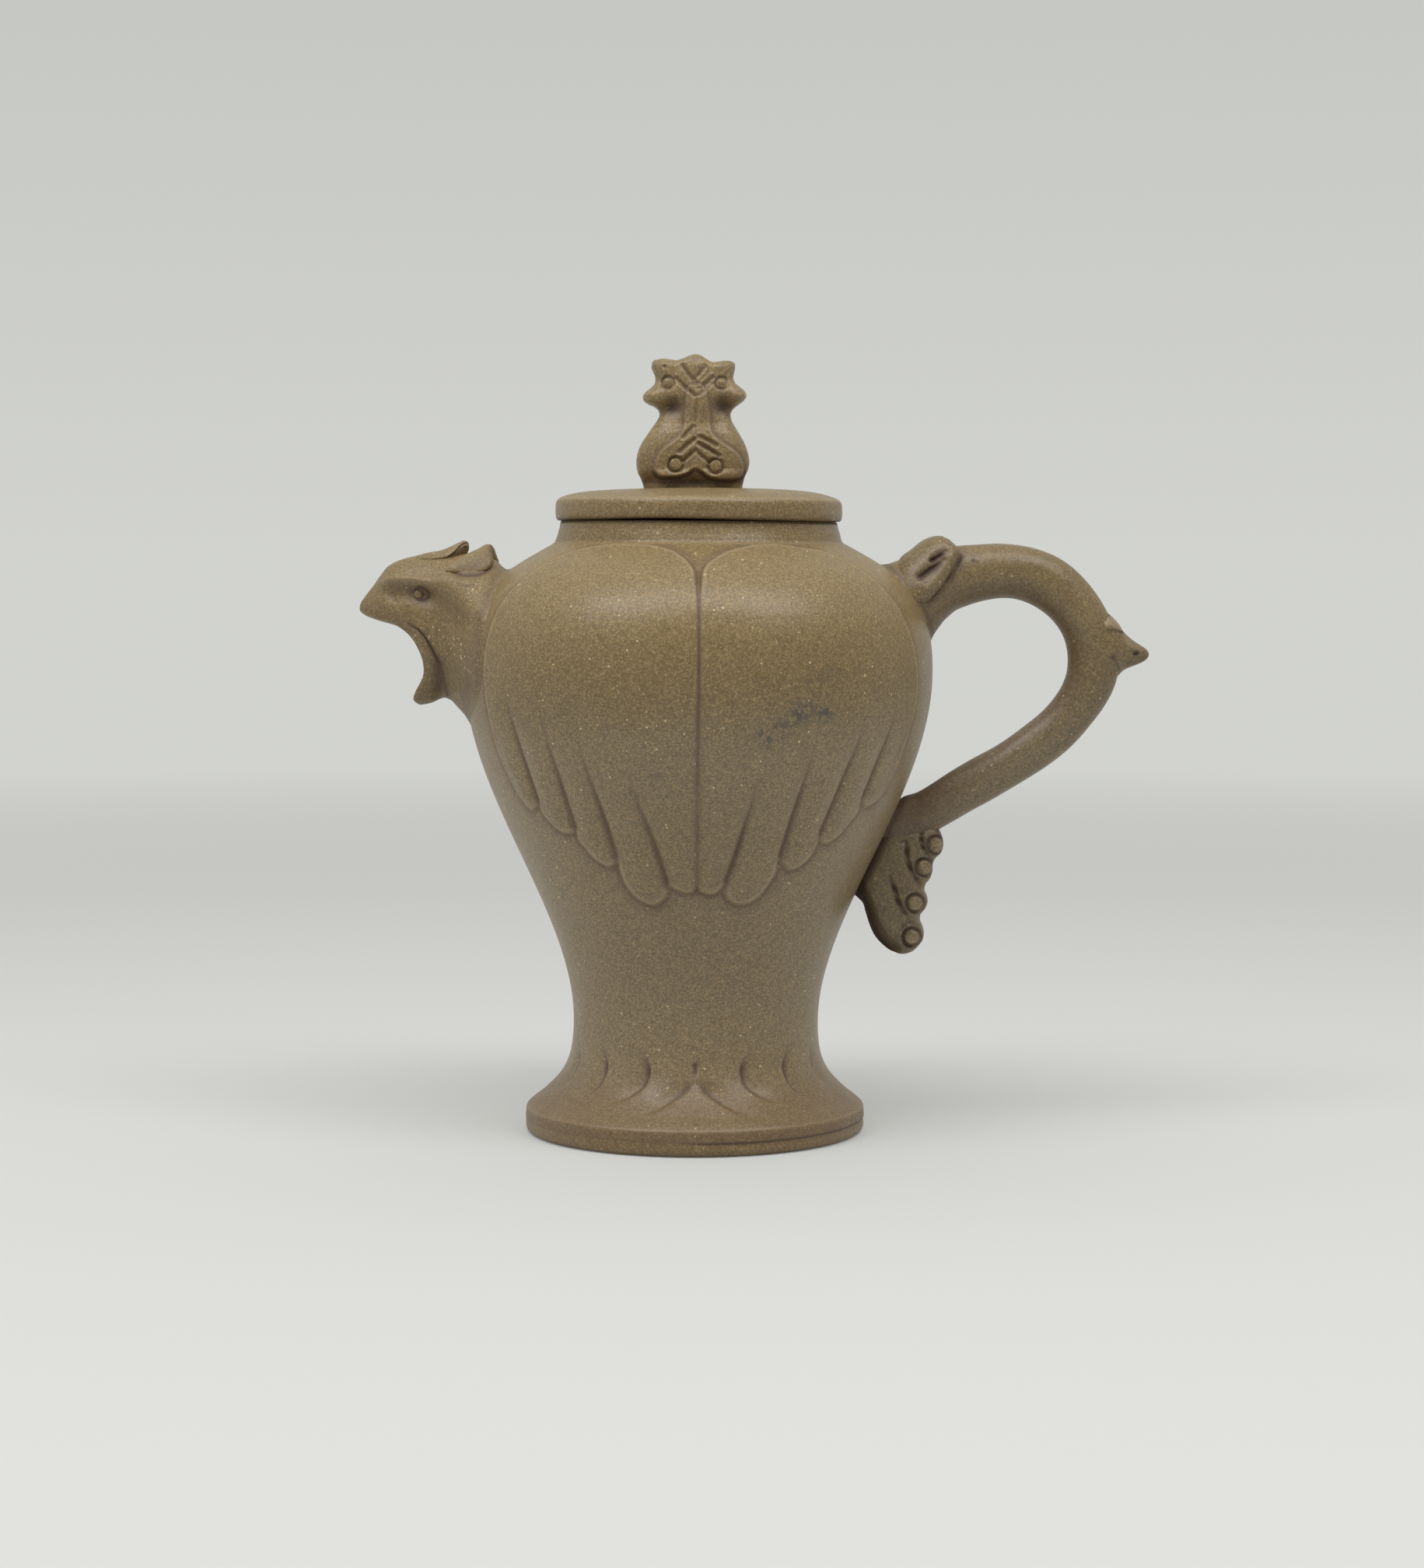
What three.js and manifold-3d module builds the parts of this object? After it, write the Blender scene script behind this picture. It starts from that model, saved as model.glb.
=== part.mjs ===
// A hand-built zisha stoneware teapot in the form of a winged bird ewer.
// The spout is the bird's head, the handle ends in a curled tail, and the lid's knob is two birds back to back.
// Every piece of clay that the potter forms by itself and lutes on is its own mesh.
// Millimetres, +Z up. The origin is the centre of the underside, the spout points to -X and the handle to +X.
import * as THREE from "three";
import { LoftGeometry } from "three/addons/geometries/LoftGeometry.js";
import { mergeVertices } from "three/addons/utils/BufferGeometryUtils.js";
import Module from "manifold-3d";

const wasm = await Module();
wasm.setup();

// Clearances
const LUTE_GAP = 0.3; // the slip joint between two pieces of clay
const COLLAR_CLEARANCE = 0.6; // between the lid's collar and the neck's bore

// The pot's wall
const WALL = 3.4;
const BASE_THICKNESS = 3;
const BASE_EDGE_ROUND = 1.2;
const FOOT_RADIUS = 36.3;
const WAIST_RADIUS = 26.2;
const WAIST_HEIGHT = 23.5;
const BELLY_RADIUS = 49.7;
const BELLY_HEIGHT = 98;
const WAIST_JOINT_DROP = 50; // the joint between the waist and the belly, below the belly's widest ring and the feathers
const SHOULDER_RADIUS = 31.2;
const SHOULDER_HEIGHT = 124.9;
const NECK_HEIGHT = 4.6;
const NECK_TOP_RADIUS = 29.3;
const MOUTH_RADIUS = 25.5;

// The wings in relief on the belly, two on each face of the pot
const WING_RELIEF = 0.9;
const WING_OVERLAP = 1.2; // how far a wing's slab reaches into the wall that it is joined to
const WING_MESH = 9; // the longest edge in a wing's surface

// The lid
const LID_RADIUS = 30.4;
const LID_THICKNESS = 4.1;
const LID_DOME = 3;
const LID_EDGE_ROUND = 1.1;
const COLLAR_DEPTH = 8;
const COLLAR_WALL = 2.6;
const VENT_RADIUS = 1.1;
const VENT_OFFSET = 15;

// The knob, a slab with the outline of two birds
const KNOB_HEIGHT = 28.7;
const KNOB_SINK = 0.8; // how deep its foot is set into the dome
const KNOB_DEPTH = 13;
const KNOB_EDGE = 0.8;
const KNOB_SHIFT = -0.8; // the hand-made knob sits a little off the lid's centre
const KNOB_EYE_RADIUS = 1;
const KNOB_EYE_SPACING = 5.6;
const KNOB_EYE_HEIGHT = 22.8;
const KNOB_STUD_RADIUS = 1.15;
const KNOB_STUD_SPACING = 4.3;
const KNOB_STUD_HEIGHT = 5.6;
const PELLET_HEIGHT = 0.7;

// The spout
const SPOUT_BORE_RADIUS = 4;
const SPOUT_BORE_RISE = 3.6; // above the belly's widest ring
const SPOUT_ROOT_WIDTH = 16; // half the spout's width where it meets the belly
const SPOUT_HEAD_WIDTH = 8.6; // half its width at the eyes
const SPOUT_LIP_WIDTH = 6.4; // half its width at the open beak
const SPOUT_LIP_HOLLOW = 7.8; // how far the lip curves back between the beak's tip and the chin
const SPOUT_EYE_RADIUS = 1.4;
const SPOUT_HOLLOW_RADIUS = 8.2; // the hollow behind the bore, over the holes in the belly's wall
const SPOUT_HOLLOW_LENGTH = 7.3; // in front of the belly, where the hollow has narrowed to the bore
const HORN_RADIUS = 3; // the comb's and the ears' at their base
const HORN_TIP_RADIUS = 1;
const STRAINER_HOLE_RADIUS = 1.3;
const STRAINER_HOLE_RING = 5;
const STRAINER_HOLES = 6; // in a ring around a middle one

// The handle
const HANDLE_FLATTENING = 0.94; // its depth as a share of its height
const THORN_REACH = 6.2; // beyond the handle's outer side
const THORN_BASE_RADIUS = 4.6;
const THORN_TIP_RADIUS = 1.4;
const THORN_PLACE = 0.5; // as a share of the handle's path, from its root to the tail
const LEAF_TILT = 50; // degrees that each leaf leans back from the horizontal
const LEAF_LENGTH = 15;
const LEAF_RADIUS = 3.6;
const LEAF_TIP_RADIUS = 2.3;
const LEAF_SPACING = 5.2; // from the pot's middle plane to the leaf's tip
const LEAF_SPREAD = 0.18; // how much it turns out from the middle plane towards its foot
const TAIL_DEPTH = 8.6;
const TAIL_EDGE = 1.4;
const TAIL_STUD_RADIUS = 1.5;

const CLAY = new THREE.MeshStandardMaterial({ color: 0x8a7452, roughness: 0.62, metalness: 0 });
const LID_CLAY = new THREE.MeshStandardMaterial({ color: 0x867150, roughness: 0.6, metalness: 0 });
const PELLET_CLAY = new THREE.MeshStandardMaterial({ color: 0x8f7957, roughness: 0.58, metalness: 0 });

const TURN_SEGMENTS = 44;
const CURVE_STEPS = 7;
const MESH_TOLERANCE = 0.01; // edges shorter than this are closed up

// Geometry helpers

// The closed mesh as a solid, with its faces pointing out.
function solid(geometry) {
  const bare = geometry.index ? geometry.toNonIndexed() : geometry.clone();
  for (const name of Object.keys(bare.attributes)) {
    if (name !== "position") bare.deleteAttribute(name);
  }
  const merged = mergeVertices(bare, 1e-4);
  const triangles = [];
  const index = merged.index.array;
  for (let i = 0; i < index.length; i += 3) {
    const [a, b, c] = [index[i], index[i + 1], index[i + 2]];
    if (a !== b && b !== c && a !== c) triangles.push(a, b, c);
  }
  const make = (list) =>
    new wasm.Manifold(
      new wasm.Mesh({
        numProp: 3,
        vertProperties: merged.attributes.position.array,
        triVerts: new Uint32Array(list),
      }),
    );
  const made = make(triangles);
  return made.volume() > 0 ? made : make(triangles.reverse());
}

function geometryOf(body) {
  const mesh = body.simplify(MESH_TOLERANCE).getMesh();
  const geometry = new THREE.BufferGeometry();
  geometry.setAttribute("position", new THREE.BufferAttribute(mesh.vertProperties, 3));
  geometry.setIndex(new THREE.BufferAttribute(mesh.triVerts, 1));
  geometry.computeVertexNormals();
  return geometry;
}

// A solid of revolution about Z. Its [radius, height] pairs start and end on the axis or close on themselves.
function turned(profile, segments = TURN_SEGMENTS) {
  const points = profile.map(([radius, height]) => new THREE.Vector2(radius, height));
  return solid(new THREE.LatheGeometry(points, segments).rotateX(Math.PI / 2));
}

function bezier(start, control1, control2, end, steps = CURVE_STEPS) {
  const vectors = [start, control1, control2, end].map(([x, y]) => new THREE.Vector2(x, y));
  return new THREE.CubicBezierCurve(...vectors).getPoints(steps).map((p) => [p.x, p.y]);
}

// The same outline moved sideways by a distance, to the left of the way it runs.
function offsetOutline(points, distance) {
  return points.map(([x, y], i) => {
    const [xa, ya] = points[Math.max(i - 1, 0)];
    const [xb, yb] = points[Math.min(i + 1, points.length - 1)];
    const length = Math.hypot(xb - xa, yb - ya);
    return [x - ((yb - ya) / length) * distance, y + ((xb - xa) / length) * distance];
  });
}

// A flat pellet of clay that lies on a face parallel to the pot's middle plane, at x and z.
function pelletOn(face, side, x, z, radius, segments = 12) {
  const shape = new THREE.CylinderGeometry(radius, radius, PELLET_HEIGHT, segments);
  return solid(shape.translate(x, side * (face + LUTE_GAP + PELLET_HEIGHT / 2), z));
}

// A cone with a round tip from one point to another.
function hornSolid(from, to, baseRadius, tipRadius, segments = 12) {
  const length = from.distanceTo(to);
  const straight = length - tipRadius;
  const profile = [[0, 0], [baseRadius, 0], [tipRadius, straight]];
  for (let i = 1; i <= 3; i++) {
    const angle = (i / 3) * (Math.PI / 2);
    profile.push([tipRadius * Math.cos(angle), straight + tipRadius * Math.sin(angle)]);
  }
  profile[profile.length - 1][0] = 0;
  const geometry = new THREE.LatheGeometry(profile.map(([r, h]) => new THREE.Vector2(r, h)), segments);
  const turn = new THREE.Quaternion().setFromUnitVectors(
    new THREE.Vector3(0, 1, 0),
    to.clone().sub(from).normalize(),
  );
  return solid(geometry.applyQuaternion(turn).translate(from.x, from.y, from.z));
}

// The pot's outline

const WAIST_HANDLE = 23.1; // the lengths of the outline curves' handles
const BELLY_HANDLE = 26;
const BELLY_TOP_HANDLE = 16.9;
const SHOULDER_HANDLE = [11.8, 6.6];
const FOOT_WAIST_HANDLE = 8.8;
const FOOT_FLARE_HANDLE = [6.5, 5.7];
const FOOT_LIP = [1.7, 6.7]; // the foot's upper edge, inwards from its radius and up from the table

const bellyOutline = [
  ...bezier(
    [WAIST_RADIUS, WAIST_HEIGHT],
    [WAIST_RADIUS, WAIST_HEIGHT + WAIST_HANDLE],
    [BELLY_RADIUS, BELLY_HEIGHT - BELLY_HANDLE],
    [BELLY_RADIUS, BELLY_HEIGHT],
  ),
  ...bezier(
    [BELLY_RADIUS, BELLY_HEIGHT],
    [BELLY_RADIUS, BELLY_HEIGHT + BELLY_TOP_HANDLE],
    [SHOULDER_RADIUS + SHOULDER_HANDLE[0], SHOULDER_HEIGHT - SHOULDER_HANDLE[1]],
    [SHOULDER_RADIUS, SHOULDER_HEIGHT],
  ).slice(1),
];

const footOutline = [
  [FOOT_RADIUS - 0.05, BASE_THICKNESS + LUTE_GAP],
  [FOOT_RADIUS - 0.35, FOOT_LIP[1] - 1.6],
  ...bezier(
    [FOOT_RADIUS - FOOT_LIP[0], FOOT_LIP[1]],
    [FOOT_RADIUS - FOOT_LIP[0] - FOOT_FLARE_HANDLE[0], FOOT_LIP[1] + FOOT_FLARE_HANDLE[1]],
    [WAIST_RADIUS, WAIST_HEIGHT - FOOT_WAIST_HANDLE],
    [WAIST_RADIUS, WAIST_HEIGHT - LUTE_GAP],
    6,
  ),
];

// The belly as a filled form, grown by a distance. Pieces that are luted to the belly are cut by it.
function bellyForm(grow) {
  const skin = offsetOutline(bellyOutline, -grow);
  const low = skin[0][1];
  const high = skin[skin.length - 1][1];
  return turned([[0, low], ...skin, [0, high]]);
}

function outlineRadiusAt(height) {
  for (let i = 1; i < bellyOutline.length; i++) {
    const [ra, ha] = bellyOutline[i - 1];
    const [rb, hb] = bellyOutline[i];
    if (height <= hb) return ra + ((rb - ra) * (height - ha)) / (hb - ha);
  }
  return SHOULDER_RADIUS;
}

// Pieces of the pot

function baseDisc() {
  const edge = bezier(
    [FOOT_RADIUS - BASE_EDGE_ROUND, 0],
    [FOOT_RADIUS - BASE_EDGE_ROUND / 3, 0],
    [FOOT_RADIUS, BASE_EDGE_ROUND / 3],
    [FOOT_RADIUS, BASE_EDGE_ROUND],
    3,
  );
  return turned([[0, 0], ...edge, [FOOT_RADIUS, BASE_THICKNESS], [0, BASE_THICKNESS]]);
}

function footSkirt() {
  const inner = offsetOutline(footOutline, WALL)
    .slice(2)
    .reverse()
    .map(([radius, height]) => [radius, Math.min(height, WAIST_HEIGHT - LUTE_GAP)]);
  const seat = [FOOT_RADIUS - WALL - 1, BASE_THICKNESS + LUTE_GAP];
  return turned([...footOutline, ...inner, seat, footOutline[0]]);
}

// One wing's edge as [degrees from the front, height above the belly's widest ring]: along the tips of the feathers
// from the front, up the outer side, over the shoulder and down the seam between the two wings
const WING_EDGE = [
  [1, -43],
  [3.5, -43.4],
  [8.2, -42.8],
  [8.9, -42],
  [9.4, -44.1],
  [11.8, -46],
  [15, -46.6],
  [18.3, -46],
  [21.5, -44.6],
  [24, -42.2],
  [25.5, -38.5],
  [27.5, -38.8],
  [31, -38.7],
  [34.8, -36.5],
  [37.2, -33.2],
  [39.2, -32.8],
  [42.5, -32.4],
  [45.8, -30.4],
  [48.6, -27.5],
  [49.6, -26],
  [51.5, -27.2],
  [54.5, -26.5],
  [57.5, -23.5],
  [60.3, -18.2],
  [61.8, -12],
  [62.6, -5.5],
  [62.3, 1],
  [61, 7],
  [59.2, 12.5],
  [57, 17.4],
  [53.8, 21.2],
  [48.5, 24.2],
  [40, 25.7],
  [28, 26.2],
  [15, 25.8],
  [6, 24.3],
  [2.1, 22.5],
  [1, 20],
];

// The front right wing's slab: the area inside the edge, wrapped on the belly and joined to its wall.
function wingSlab() {
  const shape = new THREE.Shape(WING_EDGE.map(([angle, rise]) => new THREE.Vector2(angle, rise)));
  const flat = solid(new THREE.ExtrudeGeometry(shape, { depth: 1, bevelEnabled: false }));
  const fine = flat.refineToLength(WING_MESH);
  return fine.warp((v) => {
    const angle = THREE.MathUtils.degToRad(v[0]);
    const height = BELLY_HEIGHT + v[1];
    const radius = outlineRadiusAt(height) - WING_OVERLAP + v[2] * (WING_OVERLAP + WING_RELIEF);
    v[0] = radius * Math.sin(angle);
    v[1] = -radius * Math.cos(angle);
    v[2] = height;
  });
}

// A round cutter along X at the spout's height, with its radius at the lower and at the higher x.
function spoutBore(from, to, radiusFrom, radiusTo, segments = 20, y = 0, z = 0) {
  const shape = new THREE.CylinderGeometry(radiusFrom, radiusTo, to - from, segments).rotateZ(Math.PI / 2);
  return solid(shape.translate((from + to) / 2, y, BELLY_HEIGHT + SPOUT_BORE_RISE + z));
}

function potWall() {
  const inner = offsetOutline(bellyOutline, WALL).filter(([, height]) => height < SHOULDER_HEIGHT - WALL - 0.6);
  const profile = [
    ...bellyOutline,
    [MOUTH_RADIUS, SHOULDER_HEIGHT],
    [MOUTH_RADIUS, SHOULDER_HEIGHT - WALL],
    ...inner.reverse().slice(0, -1),
    [WAIST_RADIUS - WALL, WAIST_HEIGHT],
    bellyOutline[0],
  ];
  const outside = -BELLY_RADIUS - WALL;
  const inside = -BELLY_RADIUS + 3 * WALL;
  const hole = (y, z) => spoutBore(outside, inside, STRAINER_HOLE_RADIUS, STRAINER_HOLE_RADIUS, 10, y, z);
  let wall = turned(profile).subtract(hole(0, 0));
  for (let i = 0; i < STRAINER_HOLES; i++) {
    const angle = (i / STRAINER_HOLES) * 2 * Math.PI;
    wall = wall.subtract(hole(STRAINER_HOLE_RING * Math.cos(angle), STRAINER_HOLE_RING * Math.sin(angle)));
  }
  return wall;
}

// The part of the wall above (1) or below (-1) the joint between the waist and the belly.
function wallPart(wall, direction) {
  const height = BELLY_HEIGHT - WAIST_JOINT_DROP;
  return wall.trimByPlane([0, 0, direction], direction * height + LUTE_GAP / 2);
}

function neckCollar() {
  const bottom = SHOULDER_HEIGHT + LUTE_GAP;
  const top = SHOULDER_HEIGHT + NECK_HEIGHT;
  return turned([
    [MOUTH_RADIUS, bottom],
    [SHOULDER_RADIUS - 0.3, bottom],
    [NECK_TOP_RADIUS + 0.9, bottom + NECK_HEIGHT * 0.35],
    [NECK_TOP_RADIUS, top - 0.4],
    [NECK_TOP_RADIUS - 0.4, top],
    [MOUTH_RADIUS, top],
    [MOUTH_RADIUS, bottom],
  ]);
}

// The spout: sections between the crown and throat lines, from inside the belly to the lip of the open beak.
// Both lines are [x, z] from the belly's widest point on the spout's side.
const CROWN = [[15.7, 15], [6.7, 22.3], [-2.3, 23.6], [-11.3, 23.9], [-17.3, 19.6], [-21.8, 13.4]];
const THROAT = [[11.7, -8], [2.2, -9.8], [-2.6, -6.4], [-5.6, -6.2], [-8.3, -6.8], [-10.1, -6.1]];
const SPOUT_EYE = [-9.2, 16.4];
const COMB = [[-8.3, 21.5], [0.7, 28]]; // from its foot to its tip
const EAR = [[-1.8, 4.6, 19.5], [7.1, 5.4, 27.3]];
const SPOUT_RINGS = 14;
const SPOUT_RING_POINTS = 20;

function spoutPoint(x, z, y = 0) {
  return new THREE.Vector3(x - BELLY_RADIUS, y, z + BELLY_HEIGHT);
}

// Half the spout's width: wide at the belly, narrower behind the eyes, and pinched at the lip.
function spoutWidth(share) {
  const { lerp, smoothstep } = THREE.MathUtils;
  const neck = lerp(SPOUT_ROOT_WIDTH, SPOUT_HEAD_WIDTH, smoothstep(share, 0, 0.62));
  return neck + (SPOUT_LIP_WIDTH - SPOUT_HEAD_WIDTH) * smoothstep(share, 0.55, 1);
}

function spoutForm(grow) {
  const crown = new THREE.CatmullRomCurve3(CROWN.map(([x, z]) => spoutPoint(x, z)));
  const throat = new THREE.CatmullRomCurve3(THROAT.map(([x, z]) => spoutPoint(x, z)));
  const sections = [];
  for (let i = 0; i <= SPOUT_RINGS; i++) {
    const share = i / SPOUT_RINGS;
    const high = crown.getPoint(share);
    const low = throat.getPoint(share);
    const up = high.clone().sub(low).normalize();
    const lip = THREE.MathUtils.smoothstep(share, 0.35, 1);
    const width = spoutWidth(share) + grow;
    const ring = [];
    for (let j = 0; j < SPOUT_RING_POINTS; j++) {
      const angle = (j / SPOUT_RING_POINTS) * 2 * Math.PI;
      const drop = (1 - Math.cos(angle)) / 2; // 0 at the crown and 1 at the throat
      const point = high.clone().lerp(low, drop).addScaledVector(up, grow * Math.cos(angle));
      point.x += SPOUT_LIP_HOLLOW * lip * Math.sin(drop * Math.PI);
      point.y = width * Math.sin(angle);
      ring.push(point);
    }
    sections.push(ring);
  }
  return solid(new LoftGeometry(sections, { capStart: true, capEnd: true }));
}

function spout() {
  const lip = -2 * BELLY_RADIUS;
  const bore = spoutBore(lip, WALL - BELLY_RADIUS, SPOUT_BORE_RADIUS, SPOUT_BORE_RADIUS);
  const hollowEnd = -BELLY_RADIUS - SPOUT_HOLLOW_LENGTH;
  const hollow = spoutBore(hollowEnd, WALL - BELLY_RADIUS, SPOUT_BORE_RADIUS, SPOUT_HOLLOW_RADIUS);
  return spoutForm(0).subtract(bore).subtract(hollow).subtract(bellyForm(LUTE_GAP));
}

function spoutEye(side) {
  const centre = spoutPoint(...SPOUT_EYE, side * (SPOUT_HEAD_WIDTH - SPOUT_EYE_RADIUS / 2));
  const pellet = new THREE.SphereGeometry(SPOUT_EYE_RADIUS, 10, 7).translate(centre.x, centre.y, centre.z);
  return solid(pellet).subtract(spoutForm(LUTE_GAP));
}

// The comb on the crown and the two ears behind it are small horns that point back to the pot.
function spoutHorn(from, to) {
  const horn = hornSolid(from, to, HORN_RADIUS, HORN_TIP_RADIUS);
  return horn.subtract(spoutForm(LUTE_GAP)).subtract(bellyForm(LUTE_GAP));
}

function spoutComb() {
  const [foot, tip] = COMB;
  return spoutHorn(spoutPoint(...foot), spoutPoint(...tip));
}

function spoutEar(side) {
  const [foot, tip] = EAR.map(([x, y, z]) => spoutPoint(x, z, side * y));
  return spoutHorn(foot, tip);
}

// The handle: [x, z, radius] from its root in the shoulder to where it joins the tail,
// with x and z from the belly's widest point on the handle's side
const HANDLE_STATIONS = [
  [-11.2, 14.2, 9],
  [-2.2, 17.4, 8.2],
  [4.8, 19.8, 6.8],
  [14.9, 21.3, 5.9],
  [24.8, 19, 5.7],
  [32, 11.9, 5.4],
  [34.8, 3.5, 5.4],
  [32.9, -4.9, 5.4],
  [27.3, -12.1, 5.25],
  [17.1, -19.4, 5.15],
  [6.7, -26, 5.1],
  [-0.2, -30.5, 5],
  [-11.2, -37.4, 5.2],
];
const HANDLE_LEAF_TIP = [2.5, 28.3];
const HANDLE_RINGS = 32;
const HANDLE_RING_POINTS = 12;

function handlePoint(x, z, y = 0) {
  return new THREE.Vector3(x + BELLY_RADIUS, y, z + BELLY_HEIGHT);
}

const handlePath = new THREE.CatmullRomCurve3(HANDLE_STATIONS.map(([x, z]) => handlePoint(x, z)));

function handleRadius(share) {
  const place = share * (HANDLE_STATIONS.length - 1);
  const index = Math.min(Math.floor(place), HANDLE_STATIONS.length - 2);
  return THREE.MathUtils.lerp(HANDLE_STATIONS[index][2], HANDLE_STATIONS[index + 1][2], place - index);
}

// The direction from the handle's middle line to its outer side.
function handleOut(share) {
  const along = handlePath.getTangent(share);
  return new THREE.Vector3(-along.z, 0, along.x);
}

function handleForm(grow) {
  const sections = [];
  for (let i = 0; i <= HANDLE_RINGS; i++) {
    const share = i / HANDLE_RINGS;
    const out = handleOut(share);
    const radius = handleRadius(share);
    const ring = [];
    for (let j = 0; j < HANDLE_RING_POINTS; j++) {
      const angle = (j / HANDLE_RING_POINTS) * 2 * Math.PI;
      const point = handlePath.getPoint(share).addScaledVector(out, (radius + grow) * Math.cos(angle));
      point.y = -(radius * HANDLE_FLATTENING + grow) * Math.sin(angle);
      ring.push(point);
    }
    sections.push(ring);
  }
  return solid(new LoftGeometry(sections, { capStart: true, capEnd: true }));
}

function handleLoop() {
  return handleForm(0).subtract(bellyForm(LUTE_GAP));
}

// The thorn stands on the outer side of the loop, a small beak that a thumb rests on.
function handleThorn() {
  const centre = handlePath.getPoint(THORN_PLACE);
  const reach = handleRadius(THORN_PLACE) + THORN_REACH;
  const tip = centre.clone().addScaledVector(handleOut(THORN_PLACE), reach);
  return hornSolid(centre, tip, THORN_BASE_RADIUS, THORN_TIP_RADIUS).subtract(handleForm(LUTE_GAP));
}

// Each leaf lies along the handle's root and its round tip rises above it.
function handleLeaf(side) {
  const tilt = THREE.MathUtils.degToRad(LEAF_TILT);
  const tip = handlePoint(...HANDLE_LEAF_TIP, side * LEAF_SPACING);
  const back = new THREE.Vector3(-Math.cos(tilt), side * LEAF_SPREAD, -Math.sin(tilt));
  const leaf = hornSolid(tip.clone().addScaledVector(back, LEAF_LENGTH), tip, LEAF_RADIUS, LEAF_TIP_RADIUS);
  return leaf.subtract(handleForm(LUTE_GAP)).subtract(bellyForm(LUTE_GAP));
}

// The tail: a slab under the handle's end, scalloped around four studs. Its [x, z] are the handle's.
const TAIL_OUTLINE = [
  [-9.7, -32],
  [-3.7, -31.5],
  [1.3, -33.4],
  [3.2, -36.6],
  [1.2, -39.8],
  [0.9, -42.4],
  [-1.2, -45.9],
  [-0.3, -48.8],
  [-2.1, -52.4],
  [-1.1, -55.8],
  [-3, -59.3],
  [-7.1, -60.4],
  [-10.7, -58.1],
  [-13.3, -52.8],
  [-15.5, -48.1],
  [-19.7, -42],
];
const TAIL_STUDS = [[0.7, -37.2], [-1.6, -41.9], [-3.1, -49.4], [-4, -56.8]];
const TAIL_CURVE_POINTS = 38;

// A slab with a smooth outline through [x, z] points and chamfered edges, middle on the pot's middle plane.
function slab(points, curvePoints, depth, edge) {
  const curve = new THREE.SplineCurve([...points, points[0]].map(([x, z]) => new THREE.Vector2(x, z)));
  const shape = new THREE.Shape(curve.getPoints(curvePoints).slice(0, -1));
  const geometry = new THREE.ExtrudeGeometry(shape, {
    depth: depth - 2 * edge,
    bevelThickness: edge,
    bevelSize: edge,
    bevelOffset: -edge,
    bevelSegments: 1,
  });
  return geometry.translate(0, 0, edge - depth / 2).rotateX(Math.PI / 2);
}

function tail() {
  const outline = TAIL_OUTLINE.map(([x, z]) => [x + BELLY_RADIUS, z + BELLY_HEIGHT]);
  const plate = solid(slab(outline, TAIL_CURVE_POINTS, TAIL_DEPTH, TAIL_EDGE));
  return plate.subtract(handleForm(LUTE_GAP)).subtract(bellyForm(LUTE_GAP));
}

function tailStud([x, z], side) {
  const centre = handlePoint(x, z);
  return pelletOn(TAIL_DEPTH / 2, side, centre.x, centre.z, TAIL_STUD_RADIUS);
}

// Pieces of the lid

const LID_BOTTOM = SHOULDER_HEIGHT + NECK_HEIGHT + LUTE_GAP;
const LID_TOP = LID_BOTTOM + LID_THICKNESS;

// The lid's upper outline from its edge to the middle of the dome, raised by a distance.
function lidTopOutline(raise) {
  const edge = LID_TOP + raise;
  const middle = edge + LID_DOME;
  const rise = [LID_RADIUS * 0.8, edge + LID_DOME * 0.77];
  return bezier([LID_RADIUS - LID_EDGE_ROUND, edge], rise, [LID_RADIUS * 0.46, middle], [0, middle], 8);
}

function lidPlate() {
  const profile = [
    [0, LID_BOTTOM],
    [LID_RADIUS - LID_EDGE_ROUND * 0.6, LID_BOTTOM],
    [LID_RADIUS, LID_BOTTOM + LID_EDGE_ROUND * 0.6],
    [LID_RADIUS, LID_TOP - LID_EDGE_ROUND],
    ...lidTopOutline(0),
  ];
  const vent = new THREE.CylinderGeometry(VENT_RADIUS, VENT_RADIUS, 3 * LID_THICKNESS, 10).rotateX(Math.PI / 2);
  return turned(profile).subtract(solid(vent.translate(0, VENT_OFFSET, LID_TOP)));
}

function lidCollar() {
  const outer = MOUTH_RADIUS - COLLAR_CLEARANCE;
  const inner = outer - COLLAR_WALL;
  const top = LID_BOTTOM - LUTE_GAP;
  const bottom = top - COLLAR_DEPTH;
  return turned([
    [inner, bottom + 0.6],
    [inner + 0.6, bottom],
    [outer - 0.8, bottom],
    [outer, bottom + 0.8],
    [outer, top],
    [inner, top],
    [inner, bottom + 0.6],
  ]);
}

// Half the knob's outline as [half width, height above the lid], from its foot to the crown between the heads
const KNOB_HALF = [
  [10.4, 0.2],
  [10.6, 1.9],
  [11.9, 4.6],
  [11.9, 6.4],
  [10.5, 10.2],
  [8, 14.1],
  [7.4, 15.8],
  [9.5, 17.8],
  [10.9, 19.6],
  [9.5, 21.9],
  [8.3, 23.6],
  [8.9, 26.4],
  [8.1, 27.3],
  [6.8, 27.6],
  [3.4, 27.2],
  [1.7, 28.3],
];
const KNOB_CURVE_POINTS = 64;

function knobBase() {
  return LID_TOP + LID_DOME - KNOB_SINK;
}

function knobForm() {
  const base = knobBase();
  const side = KNOB_HALF.map(([half, height]) => [half, height + base]);
  const otherSide = KNOB_HALF.map(([half, height]) => [-half, height + base]).reverse();
  const outline = [...side, [0, KNOB_HEIGHT + base], ...otherSide, [0, base - 1]];
  return solid(slab(outline, KNOB_CURVE_POINTS, KNOB_DEPTH, KNOB_EDGE).translate(KNOB_SHIFT, 0, 0));
}

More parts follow.
